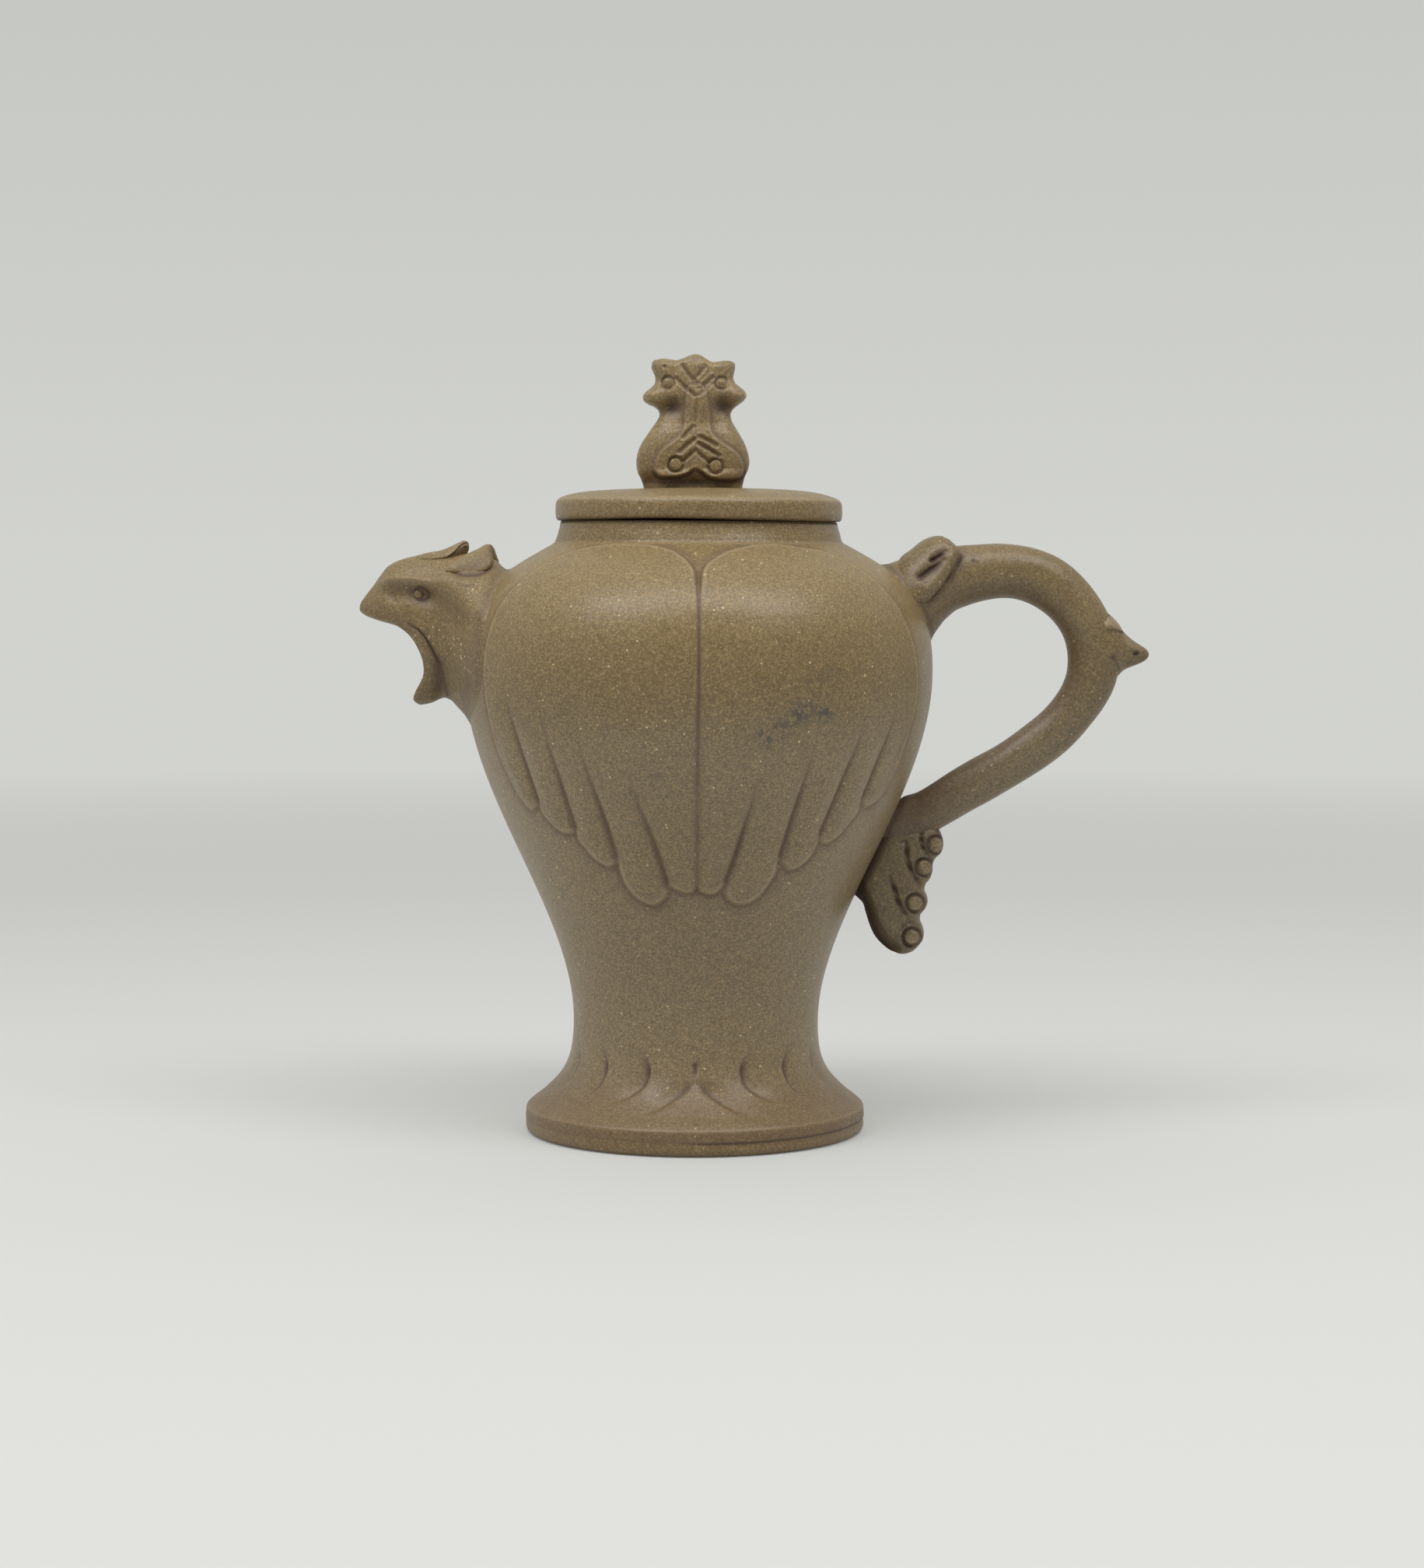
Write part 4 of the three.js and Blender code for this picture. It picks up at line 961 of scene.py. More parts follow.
lip_edge = outer_skin[-1]
lip_inside = lip_edge * [1, 0.72, 1] + [1.4, 0, 0]
lip_inside[:, 2] = BORE_HEIGHT + (lip_inside[:, 2] - BORE_HEIGHT) * 0.86
bore_end = np.stack([np.full(SPOUT_COLUMNS, -51.0), -BORE_RADIUS * np.sin(round_turn),
                     BORE_HEIGHT + BORE_RADIUS * np.cos(round_turn)], 1)
rounding = lambda k: lip_edge * (1 - k) + lip_inside * k + np.array([-0.45, 0, 0]) * np.sin(np.pi * k)
turn_in = [rounding(k) for k in (0.12, 0.3, 0.55, 0.8)]
funnel = [lip_inside * (1 - k) + bore_end * k for k in (0, 0.2, 0.42, 0.66, 0.85, 1)]
channel = [bore_end + [k, 0, 0] for k in (2, 4.2)]

sides = np.abs(np.sin(T)) ** 0.5
brow_far, brow_share, brow_side = carved_line(outer_skin, BROW)
brow_ends = fade(brow_share, 0, 0.3) * (1 - fade(brow_share, 0.75, 1))
relief = 0.8 * bell(brow_far, 1.2) * brow_ends
relief -= 1.1 * brow_ends * np.where(brow_side < 0, bell(brow_far - 3.0, 2.1), 0)
eye_far = side_far(outer_skin, EYE_AT)
relief -= 0.8 * bell(eye_far, 1.75)
mouth_far, mouth_share, mouth_side = carved_line(outer_skin, MOUTH_LINE, 80)
mouth_depth = fade(mouth_share, 0.1, 0.3) * (1 - 0.6 * fade(mouth_share, 0.55, 0.8))
relief -= 0.4 * mouth_depth * bell(mouth_far, 0.26)
relief += 0.2 * mouth_depth * np.where(mouth_side < 0, bell(mouth_far - 1.2, 1.1), 0)
hollow_far = carved_line(outer_skin, CHIN_HOLLOW, 20)[0]
relief -= 0.5 * bell(hollow_far, 1.3)
cheek = trace(outer_skin, CHEEK, 2.3, 20)
hump = trace(outer_skin, HUMP, 2.4, 20)
relief += 0.7 * hump - 0.9 * cheek
cheek_far = carved_line(outer_skin, CHEEK_CREASE, 20)[0]
ear_far = carved_line(outer_skin, EAR_CREASE, 20)[0]
relief -= 0.2 * bell(cheek_far, 0.3) + 0.4 * bell(ear_far, 0.5)
sandy = np.maximum(trace(outer_skin, SAND_PATCH, 2.0, 20), 0.7 * trace(outer_skin, SHOULDER_SAND, 1.3, 20))
outer_skin = outer_skin + normals(outer_skin) * (relief * sides)[..., None]
spout = np.concatenate([outer_skin, np.stack(turn_in + funnel + channel)])
# The spout's marks: painted shade in the mouth's crack, round the eye's socket, in the chin's hollow, under the
# brow, under the ear and round the joint with the belly, partly laid as a rust tint; a painted highlight along
# the brow.
brow_shadow = brow_ends * (brow_side < 0) * bell(brow_far - 2.2, 1.6)
behind_eye = spot(outer_skin, (EYE_AT[0] - 1.6, EYE_AT[1] + 0.5), 0.8)
beak_edge = (skin[..., 1] > BEAK_LOW) * bell(lip_edge[None, :, 0] - outer_skin[..., 0], 1.4)
spout_marks = {
    "shade_and_stain": most(
        0.8 * mouth_depth * bell(mouth_far, 0.22), 0.8 * bell(eye_far - 1.45, 0.36), 0.45 * behind_eye,
        0.35 * bell(hollow_far, 0.9), 0.45 * bell(cheek_far, 0.25), 0.6 * bell(ear_far, 0.35)),
    "rust_and_shade": most(
        0.45 * bell(proud, 0.9), 0.5 * brow_shadow, 0.55 * bell(eye_far, 2.6), 0.35 * beak_edge, 0.35 * cheek,
        0.5 * bell(ear_far, 1.0), 0.7 * fade(mouth_share, 0.1, 0.5) * bell(mouth_far, 0.8),
        0.6 * bell(hollow_far, 1.6)),
    "wear_and_highlight": 0.55 * bell(brow_far, 0.8) * brow_ends,
    "sandy": sandy,
}
make_piece("spout", spout, ["spout_head"], ring=True, marks=spout_marks, finish="spout_clay")

# %% [markdown]
# The comb is a flap of clay that lies on the forehead and curls up at its tip, with a dark hollow under the
# curl. The two ears behind it are thick cupped leaves that grow out of the sides of the head: their upper edge
# stands up as a ridge and the middle is scooped out.

# %% Comb and ears
COMB_UPPER = [
    (-62.6, 121.3), (-60.6, 122.1), (-57.3, 123.1), (-53.9, 123.75), (-51.6, 124.7), (-50.2, 125.4),
    (-49.2, 125.75), (-48.4, 125.3), (-48.2, 124.4),
]
COMB_LOWER = [
    (-62.6, 121.3), (-60.4, 120.9), (-57, 120.6), (-54.5, 120.5), (-52.4, 120.7), (-50.6, 121.3),
    (-49.2, 122.4), (-48.4, 123.5), (-48.2, 124.4),
]
COMB_CURL = [(-54.5, 121.5), (-52.7, 122.2), (-51.2, 123.3), (-50.2, 124.5), (-49.4, 125.1), (-48.6, 125.3)]
COMB_CREASE = [
    (-54.7, 121.5), (-53.3, 121.6), (-52.0, 122.3), (-50.8, 123.1), (-49.6, 124.1), (-48.5, 124.0),
]
comb, comb_face, v = plate(
    COMB_UPPER, COMB_LOWER, 130, 110,
    ((0, 0.3), (0.1, 2.2), (0.3, 4.6), (0.6, 5.2), (0.8, 4.2), (0.93, 2.7), (1, 0.5)), squareness=2.2, ends=0.3)
curl_far, curl_share, curl_side = carved_line(comb, COMB_CURL)
crease_far, _, crease_side = carved_line(comb, COMB_CREASE)
rolled = fade(curl_share, 0.05, 0.4)
slot = (curl_side < 0) * (crease_side > 0) * bell(np.minimum(curl_far, crease_far), 0.45) * rolled
carve_faces(comb, comb_face, 0.25 * bell(curl_far - 0.35, 0.4) * rolled - 0.4 * slot)
curl_line = np.maximum(bell(curl_far, 0.2), bell(crease_far, 0.2)) * fade(curl_share, 0.0, 0.15)
# Painted shadow in the slot under the curl, painted shade along the curl's lines and a painted highlight on the
# curl's upper side.
make_piece("comb", comb, ["spout_comb"], finish="spout_clay", marks={
    "shade_and_stain": 0.45 * curl_line, "rust_and_shade": np.maximum(0.8 * slot, 0.6 * curl_line),
    "wear_and_highlight": 0.5 * bell(curl_far - 0.45, 0.3) * rolled * (curl_side > 0)})

EAR_UPPER = [
    (-53.5, 119.3), (-52.0, 121.0), (-49.6, 122.5), (-47.4, 123.5), (-45.9, 124.2), (-44.9, 124.8),
    (-44.2, 124.95), (-43.7, 124.4), (-43.2, 122.7), (-42.8, 121.2),
]
EAR_LOWER = [
    (-53.5, 119.3), (-51.8, 118.9), (-49.8, 118.6), (-48.2, 118.6), (-46.2, 118.8), (-44.8, 119.1),
    (-43.8, 119.7), (-43.2, 120.4), (-42.8, 121.2),
]
EAR_SCOOP = [(-50.0, 119.8), (-48.3, 120.0), (-46.3, 120.6), (-44.5, 122.0), (-43.8, 123.2)]
EAR_RIDGE = [(-52.2, 120.5), (-50.4, 121.4), (-48.6, 122.3), (-46.9, 123.1), (-44.8, 124.1)]
EAR_THICKNESS = ((0, 0.4), (0.15, 1.5), (0.5, 2.2), (0.85, 2.1), (1, 0.6))
EAR_TOP, EAR_TIP_OUT, EAR_SPLAY = 124.8, 4.2, 0.85  # how far out the tip is, and how much further per mm down
for name, side in SIDES:
    ear, ear_face, v = plate(EAR_UPPER, EAR_LOWER, 110, 110, EAR_THICKNESS, squareness=2.1, ends=0.35)
    ear[..., 1] += side * (EAR_TIP_OUT + EAR_SPLAY * (EAR_TOP - ear[..., 2]))
    off_plane(ear)
    scoop = trace(ear, EAR_SCOOP, 1.4)
    ridge = trace(ear, EAR_RIDGE, 0.7)
    foot_far, foot_share, _ = carved_line(ear, EAR_CREASE)
    ear_foot = bell(foot_far, 0.4) * fade(foot_share, 0, 0.2) * (1 - fade(foot_share, 0.5, 0.9))
    outside = np.where(side * ear_face > 0, 1.0, 0.0)
    carve_faces(ear, ear_face, (0.15 * ridge - 0.3 * scoop - 0.3 * ear_foot) * outside)
    # Painted shade along the ear's foot and in its scoop, partly laid as a rust tint, and a painted highlight
    # on its ridge.
    make_piece(f"ear_{name}", ear, [f"spout_ear_{name}"], finish="spout_clay", marks={
        "shade_and_stain": 0.6 * ear_foot * outside, "rust_and_shade": np.maximum(0.45 * scoop, ear_foot) * outside,
        "wear_and_highlight": 0.3 * ridge * outside})

# %% [markdown]
# ## The handle
#
# The handle is a roll of clay bent into a loop. Its section is carried along a path, and its radius changes on
# the way: thick at the root, where it flares into the shoulder, slim below the thorn and flatter at the tail.
# Its side lines are those of the photograph, so the root is a broad tongue that hangs down over the shoulder.

# %% Handle
HANDLE_PATH = [  # (x, z, radius)
    (36.5, 106.6, 10.0), (38.5, 108.0, 9.9), (41, 110.2, 9.6), (44.6, 112.8, 8.9), (48.4, 115.4, 7.95),
    (52, 117.2, 7.15), (55.9, 118.2, 6.4), (60, 118.9, 5.95), (64.6, 119.3, 5.85), (69.5, 118.75, 5.75),
    (74.4, 116.85, 5.62), (78.4, 113.75, 5.45), (81.6, 109.7, 5.42), (83.6, 105.4, 5.4), (84.35, 101.0, 5.35),
    (83.95, 96.9, 5.28), (82.4, 93.15, 5.1), (79.95, 89.5, 4.9), (76.9, 86.0, 4.78), (72.0, 81.95, 4.8),
    (66.9, 78.5, 4.82), (61.5, 75.4, 4.8), (56.25, 72.4, 4.65), (52.2, 69.9, 4.65), (48.5, 67.9, 4.75),
    (44.5, 66.6, 5.0), (40.5, 65.6, 4.8), (37.5, 64.8, 3.8),
]
HANDLE_ROWS, HANDLE_COLUMNS = 420, 110
HANDLE_FLATTENING = 0.95 - 0.14 * fade(np.linspace(0, 1, HANDLE_ROWS), 0.85, 0.94)[:, None]
TAIL_END = 85.0  # the roll below this height is its tail end
LEAF_CREASE = [(55.9, 122.6), (55.2, 120.8), (53.9, 118.7), (52.5, 116.7), (50.8, 114.6), (49.1, 113.0)]
SCRAPED_LINE = [(42.2, 119.5), (44.2, 117.5), (46.7, 114.3), (48.3, 111.9)]
FLAP = [
    (85.9, 107.3), (86.2, 108.6), (86.7, 109.4), (87.8, 109.9), (89.2, 109.6), (90.2, 108.2), (90.6, 106.5),
    (89.6, 106.5), (88.4, 106.9), (87.3, 106.8), (86.6, 106.8), (85.9, 107.3),
]


def tube(path, rows, columns, flattening):
    """A round section carried along a path in the pot's middle plane: at each point the section's x goes to the
    path's outer side and its y sideways, both times the radius there. The ends close to points."""
    line = smooth_line(path, rows)
    tangent = np.gradient(line[:, :2], axis=0)
    tangent /= np.linalg.norm(tangent, axis=1, keepdims=True)
    outwards = np.stack([-tangent[:, 1], tangent[:, 0]], 1)
    section = rounded(columns, 2.1)
    radius = line[:, 2:3].copy()
    radius[[0, -1]] = 0
    flat = line[:, None, :2] + outwards[:, None] * (radius * section[:, 0])[..., None]
    y = -radius * flattening * section[:, 1]
    return np.stack([flat[..., 0], y, flat[..., 1]], 2), line, section


handle, handle_line, section = tube(HANDLE_PATH, HANDLE_ROWS, HANDLE_COLUMNS, HANDLE_FLATTENING)
middle_line = np.stack([handle_line[:, 0], np.zeros(HANDLE_ROWS), handle_line[:, 1]], 1)
outward = handle - middle_line[:, None]
outward /= np.maximum(np.linalg.norm(outward, axis=2, keepdims=True), 1e-9)
at_tail = handle[..., 2] < TAIL_END
handle, joint = eased(handle, 1.3)
handle_turn = np.arange(HANDLE_ROWS)[:, None] / HANDLE_ROWS
handle += outward * (0.1 * np.sin(40 * handle_turn + 2 * np.arctan2(section[:, 1], section[:, 0])))[..., None]
leaf_far, leaf_share, _ = carved_line(handle, LEAF_CREASE)
spotted = 0.55 + 0.45 * np.cos(leaf_share * 17 - 1)
scraped = trace(handle, SCRAPED_LINE, 0.3) * (handle[..., 0] < 50)
handle -= outward * (0.5 * bell(leaf_far, 0.7) - 0.15 * scraped)[..., None]
inner_side_shade = fade(-section[:, 0], 0.1, 0.9) * np.ones((HANDLE_ROWS, 1))
fleck = spot(handle, (58.7, 121.5), 0.5)
# The handle's marks: painted shade at the joint with the belly, along the leaf's crease, on the loop's inner
# side and on the roll near the tail, partly laid as a rust tint; a dark fleck; a lighter scraped line.
handle_marks = {
    "shade_and_stain": most(0.25 * bell(joint, 0.5), 0.85 * spotted * bell(leaf_far, 0.5), 0.9 * fleck,
                                 0.5 * at_tail * bell(joint - 0.2, 0.8)),
    "rust_and_shade": most(0.6 * bell(joint, 1.3), 0.7 * bell(leaf_far, 1.2), 0.35 * inner_side_shade,
                               0.8 * at_tail * (1 - fade(joint, 4, 15))),
    "wear_and_highlight": 0.75 * scraped,
}
make_piece("handle", handle, ["handle_loop"], marks=handle_marks, finish="handle_clay")

# %% [markdown]
# The thorn is a small beak pulled out of the loop's outer side, with a wrinkled fold of clay pressed on above
# it. It is a body between its two side lines, like the comb, and the fold is raised where a point lies inside
# the fold's own outline.

# %% Thorn
THORN_UPPER = [
    (82, 102.5), (82.3, 106.2), (83.6, 109.0), (85.2, 110.2), (86.6, 110.6), (88.2, 109.6), (89.7, 108.0),
    (90.6, 106.5), (91.6, 105.5), (93.0, 104.4), (94.4, 103.5), (95.4, 102.8), (95.9, 102.2), (96.05, 101.6),
]
THORN_LOWER = [
    (82, 102.5), (82.4, 98.5), (83.8, 95.6), (85.6, 94.6), (87.4, 94.6), (88.7, 95.9), (89.7, 97.2),
    (90.6, 98.1), (91.7, 98.7), (93.0, 99.2), (94.4, 99.8), (95.4, 100.4), (95.9, 101.0), (96.05, 101.6),
]
THORN_THICKNESS = ((0, 0.5), (0.1, 3.2), (0.25, 4.4), (0.45, 4.6), (0.65, 3.6), (0.82, 2.6), (0.95, 1.8),
                   (1, 0.9))
THORN_RIDGE = [(90.4, 105.6), (92.2, 103.4), (94.2, 102.3)]
THORN_CHIP = [(89.9, 98.4), (89.5, 99.4), (89.3, 100.1)]
thorn, thorn_face, v = plate(THORN_UPPER, THORN_LOWER, 160, 110, THORN_THICKNESS, squareness=2.5, ends=0.3)
tip_pit, small_pit = spot(thorn, (93.4, 101.7), 0.62), spot(thorn, (88.5, 100.9), 0.6)
flap_in = inward(side_view(thorn), smooth_line(FLAP, 60)[:-1]).reshape(tip_pit.shape)
ridge = trace(thorn, THORN_RIDGE, 0.6)
chip = trace(thorn, THORN_CHIP, 0.22)
flap_top = fade(carved_line(thorn, FLAP[:7])[0], 1.6, 0.2) * (flap_in < 0.3)
wrinkle = 0.5 + 0.5 * np.sin(thorn[..., 0] * 5.1 + thorn[..., 2] * 3.2)
raised_flap = (0.45 + 0.25 * wrinkle) * fade(flap_in, -0.2, 0.6)
carve_faces(thorn, thorn_face, raised_flap + 0.3 * ridge - 0.55 * tip_pit - 0.3 * small_pit)
# Painted shade in the two pits, under the fold's upper edge and in the chip, rust and painted shade round the
# fold, a rust tint towards the tip, and a painted highlight on the wrinkled fold and the ridge.
thorn_marks = {
    "shade_and_stain": most(0.7 * tip_pit, 0.5 * small_pit, 0.95 * flap_top * bell(flap_in + 0.15, 0.25),
                   0.12 * bell(flap_in + 0.2, 0.2), 0.6 * chip),
    "rust_and_shade": most(tip_pit, 0.8 * small_pit, 0.4 * bell(flap_in + 0.5, 0.6), 0.3 * fade(thorn[..., 0], 89, 96)),
    "wear_and_highlight": np.maximum((0.5 + 0.5 * wrinkle) * fade(flap_in, 0.1, 0.6), 0.5 * ridge),
}
make_piece("thorn", thorn, ["handle_thorn"], marks=thorn_marks, finish="handle_clay")

# %% [markdown]
# The leaf on each side of the handle's root has the cupped shape of an ear. The real one is a pinched strip
# smoothed on to the roll along its inner edge, so the body made between its side lines swells there to meet
# the roll, and two strokes of a tool are pressed into its face.

# %% Leaves at the handle's root
LEAF_LEFT = [
    (52.2, 126.5), (51.0, 126.55), (49.4, 126.15), (47.7, 125.15), (46.0, 123.5), (44.4, 121.9),
    (43.4, 119.6), (43.0, 116.8), (43.4, 113.4), (45.2, 110.3),
]
LEAF_RIGHT = [
    (52.2, 126.5), (53.4, 126.1), (54.4, 125.25), (55.4, 124.2), (55.7, 123.0), (55.2, 121.3), (54.2, 119.4),
    (52.9, 117.3), (51.5, 115.4), (49.4, 113.0), (45.2, 110.3),
]
LEAF_STROKES = [[(49.6, 121.2), (50.6, 121.8), (51.7, 122.5), (52.7, 123.4)],
                [(46.5, 117.1), (47.8, 118.1), (49.5, 119.4), (51.2, 120.6), (52.3, 121.6)]]
LEAF_FOLD = [(54.0, 122.2), (52.9, 120.1), (51.2, 118.0), (49.2, 115.6)]
LEAF_THICKNESS = ((0, 0.8), (0.12, 2.8), (0.5, 3.3), (0.85, 2.4), (1, 0.5))
LEAF_OUT = ((0, 2.8), (0.2, 4.3), (0.5, 6.0), (0.8, 6.6), (1, 5.6))  # how far out its middle lies, by share
ROOT_SHARE = 0.35  # the share of the handle's rows that the leaves can touch


def eased_on_roll(grid, reach):
    """The same swell against the handle's roll: the depth is the distance to its middle line less its radius.
    Returns how far each point moves."""
    count = int(HANDLE_ROWS * ROOT_SHARE)
    line, radius = middle_line[:count], handle_line[:count, 2]
    points = grid.reshape(-1, 3)
    far, share, _ = near(points, line)
    along = lengths(line) / lengths(line)[-1]
    nearest = np.stack([np.interp(share, along, line[:, k]) for k in range(3)], 1)
    depth = far - np.interp(share, along, radius)
    square = (points - nearest) / np.maximum(far, 1e-9)[:, None]
    return (swell(depth, reach, 5)[:, None] * square).reshape(grid.shape)


for name, side in SIDES:
    middle = tuple((at, side * out) for at, out in LEAF_OUT)
    leaf, leaf_face, v = plate(
        LEAF_LEFT, LEAF_RIGHT, 160, 120, LEAF_THICKNESS, squareness=2.1, middle=middle, ends=0.35)
    across = rounded(120, 2.1)[:, 0]
    leaf[..., 1] += side * (2.2 * across - 1.6) * np.sin(np.pi * np.clip(v, 0, 1))[:, None] ** 0.5
    off_plane(leaf)
    leaf += eased_on_roll(leaf, 1.6) * (1 - fade(across, 0.1, 0.7))[:, None]
    strokes, broad = np.zeros(leaf.shape[:2]), np.zeros(leaf.shape[:2])
    for line, sharp in zip(LEAF_STROKES, (0.42, 0.5)):
        far, share, _ = carved_line(leaf, line)
        ends = fade(share, -0.05, 0.25) * (1 - 0.6 * fade(share, 0.6, 1))
        strokes, broad = np.maximum(strokes, ends * bell(far, sharp)), np.maximum(broad, ends * bell(far, 1.2))
    pit = spot(leaf, (49.9, 121.4), 0.62)
    fold_line = trace(leaf, LEAF_FOLD, 0.7)
    carve_faces(leaf, leaf_face, 0.35 * fold_line - 0.65 * strokes - 0.5 * broad - 0.6 * pit)
    # Painted shade in the strokes, round them and in the pit, partly laid as a rust tint, and a painted
    # highlight along the fold.
    make_piece(f"leaf_{name}", leaf, [f"handle_leaf_{name}"], finish="handle_clay", marks={
        "shade_and_stain": np.maximum(0.85 * strokes, pit), "rust_and_shade": broad, "wear_and_highlight": 0.5 * fold_line})

# %% [markdown]
# ## The tail
#
# The tail is a thick flat plate under the handle's lower end. Its outer edge is scalloped round four studs,
# each a small disc in a ring-shaped groove, and comma-shaped grooves part the feathers.

# %% Tail
TAIL_LEFT = [
    (46.0, 67.5), (43, 67.3), (40.4, 65.4), (38.2, 62.2), (36.0, 57.6), (34.0, 53.0), (33.4, 50.8),
    (34.3, 49.9), (35.3, 48.9), (36.2, 46.3), (37.0, 43.8), (38.0, 41.7), (39.8, 39.7), (41.4, 38.5),
    (43.0, 37.9),
]
TAIL_RIGHT = [
    (46.0, 67.5), (48.8, 67.0), (50.8, 65.6), (51.8, 64.2), (52.4, 62.7), (52.6, 60.9), (52.1, 59.4),
    (51.0, 58.3), (50.4, 57.2), (50.3, 55.6), (49.8, 54.0), (48.8, 52.6), (48.6, 51.6), (49.1, 50.4),
    (49.3, 49.0), (48.8, 47.6), (47.8, 46.3), (47.7, 45.1), (48.2, 43.9), (48.5, 42.3), (48.3, 40.9),
    (47.4, 39.6), (46.3, 38.5), (44.8, 37.9), (43.0, 37.9),
]
TAIL_DEPTH = corners("handle_tail")[1][1]
TAIL_STUDS = [(51.1, 60.9), (48.6, 56.1), (46.7, 48.4), (46.0, 41.2)]
TAIL_GROOVES = [
    [(47.9, 63.8), (47.9, 62.3), (48.2, 60.7), (48.8, 59.5), (49.8, 58.4)],
    [(43.4, 61.4), (44.2, 61.7), (44.8, 60.8), (44.8, 59.3), (45.0, 57.6), (45.7, 55.7), (46.6, 54.0),
     (47.9, 52.2)],
    [(41.2, 54.4), (41.6, 52.9), (42.4, 51.2), (42.8, 49.4), (43.7, 47.6), (45.0, 45.3)],
    [(43.6, 42.4), (44.2, 43.5), (45.1, 44.2), (46.1, 44.2), (47.0, 43.6)],
]
TAIL_STRENGTHS = (1, 1, 1, 0.45)
TAIL_FREE_EDGE = [
    (34.0, 52.0), (35.3, 48.9), (36.2, 46.3), (37.0, 43.8), (38.0, 41.7), (39.8, 39.7), (41.4, 38.5),
]
TAIL_THICKNESS = ((0, 0.3), (0.08, 1.4), (0.16, 2.6), (0.25, 3.8), (0.33, TAIL_DEPTH), (0.9, TAIL_DEPTH),
                  (1, TAIL_DEPTH * 0.6))
TAIL_FREE_TOP = 54.5  # above this height the plate's left edge is luted to the belly
tail, tail_face, v = plate(TAIL_LEFT, TAIL_RIGHT, 230, 190, TAIL_THICKNESS, squareness=3.6, ends=0.35)
pressed, tail_shade = np.zeros((2, *tail.shape[:2]))
for stud in TAIL_STUDS:
    far = side_far(tail, stud)
    pressed = np.maximum(pressed, 0.75 * bell(far - 1.85, 0.4))
    # Painted shade in the ring round each stud, stronger on its upper left side.
    tail_shade = np.maximum(tail_shade, (0.35 + 0.6 * one_side(tail, stud, 2.8)) * bell(far - 1.9, 0.36))
for line, strength in zip(TAIL_GROOVES, TAIL_STRENGTHS):
    far, share, _ = carved_line(tail, line)
    stroke = strength * fade(share, -0.2, 0.3) * (1 - 0.6 * fade(share, 0.75, 1))
    stroke *= 0.8 + 0.2 * np.cos(share * 21)
    pressed = np.maximum(pressed, stroke * bell(far, 0.42 + 0.2 * share))
    pressed -= 0.22 * stroke * bell(far - 1.0, 0.35)
    tail_shade = np.maximum(tail_shade, stroke * bell(far, 0.36 + 0.12 * share))
free_edge = carved_line(tail, TAIL_FREE_EDGE, 60)[0]
bevel = (1 - fade(free_edge, 0.3, 2.6)) * fade(TAIL_FREE_TOP - tail[..., 2], 0, 3)
band = depth_in_belly(tail)
carve_faces(tail, tail_face, -pressed - 1.9 * bevel)
# The tail's marks: painted shade in the rings and grooves, on the bevel of the free edge, which faces away from
# the light, and along the joint with the belly, partly laid as a rust tint.
tail_marks = {
    "sandy": 0.8 * spot(tail, (43.5, 63.0), 2.6),
    "shade_and_stain": most(0.65 * tail_shade, 0.7 * bevel, 0.65 * (1 - fade(band, 0.6, 1.5))),
    "rust_and_shade": most(tail_shade, 0.8 * bevel, 1 - fade(band, 1.0, 2.4), 0.35 * bell(free_edge - 3.0, 0.5)),
}
make_piece("tail", tail, ["handle_tail"], marks=tail_marks, finish="tail_clay")

# %% [markdown]
# ## Studs and eyes
#
# Every stud and eye is a pellet of clay pressed on: a small turned button with a soft edge, facing front or
# back. They could be squashed balls, but a turned button has a flat face and a crisp foot. One function makes
# them all. How far out each lies is read from the piece it sits on, as the skin there is curved and carved.

# %% Pellets
EYE_LOOK, TAIL_STUD_LOOK = (0.98, 0.75, 0.75), (1.42, 0.25, 0.2)  # radius, height and crown
KNOB_EYE_LOOK, KNOB_STUD_LOOK = (0.82, 0.5, 0.7), (1.18, 0.3, 0.3)


def face_at(grid, at):
    """How far out a piece's front face lies at a place of the side view."""
    y = grid[..., 1].ravel()
    return -y[np.argmin(side_far(grid, at).ravel() + 99 * (y > 0))]


def pellet(name, host, at, look, side, nodes, body="pot", sunk=0.1):
    """A button on a host's face, turned about a line towards the viewer: flat below, with its edge rounded and
    its top crowned by a share of its height. at is its place in the side view."""
    radius, height, crown = look
    face_y = side * (face_at(host, at) - sunk)
    share = 1 - abs(face_y) / SEEN_FROM
    x, z = at[0] * share, EYE_HEIGHT + (at[1] - EYE_HEIGHT) * share
    profile = np.concatenate([
        [[0, -0.6], [radius, -0.6]],
        bezier((radius, height * 0.25), (radius, height * (1 - crown)), (radius * 0.7, height), (0, height), 9),
    ])
    angle = np.linspace(0, 2 * np.pi, 32, endpoint=False)
    across = profile[:, :1] * np.cos(angle)
    up = profile[:, :1] * np.sin(angle) * (1 + 0.03 * np.cos(3 * angle))
    out = np.broadcast_to(profile[:, 1:], across.shape)
    make_piece(name, np.stack([x + across, face_y + side * out, z + up], 2), nodes, body, "pellet_clay")


for name, side in SIDES:
    for i, stud in enumerate(TAIL_STUDS, 1):
        pellet(f"tail_button_{name}_{i}", tail, stud, TAIL_STUD_LOOK, side, [f"tail_stud_{name}_{i}"])
for name, side in SIDES:
    pellet(f"eye_{name}", outer_skin, EYE_AT, EYE_LOOK, side, [f"spout_eye_{name}"], sunk=0)
print("eye stands at", face_at(outer_skin, EYE_AT))

# %% [markdown]
# ## The knob
#
# The knob is two birds back to back, cut from one thick block: beaks to both sides, a shared crown between
# them, and below a wing panel with a stud on each side. The block is a body between its two side lines, with
# its top pulled up to the crown's line. On its faces the panels are raised, the beaks' undersides hollowed
# and the chevrons cut in.

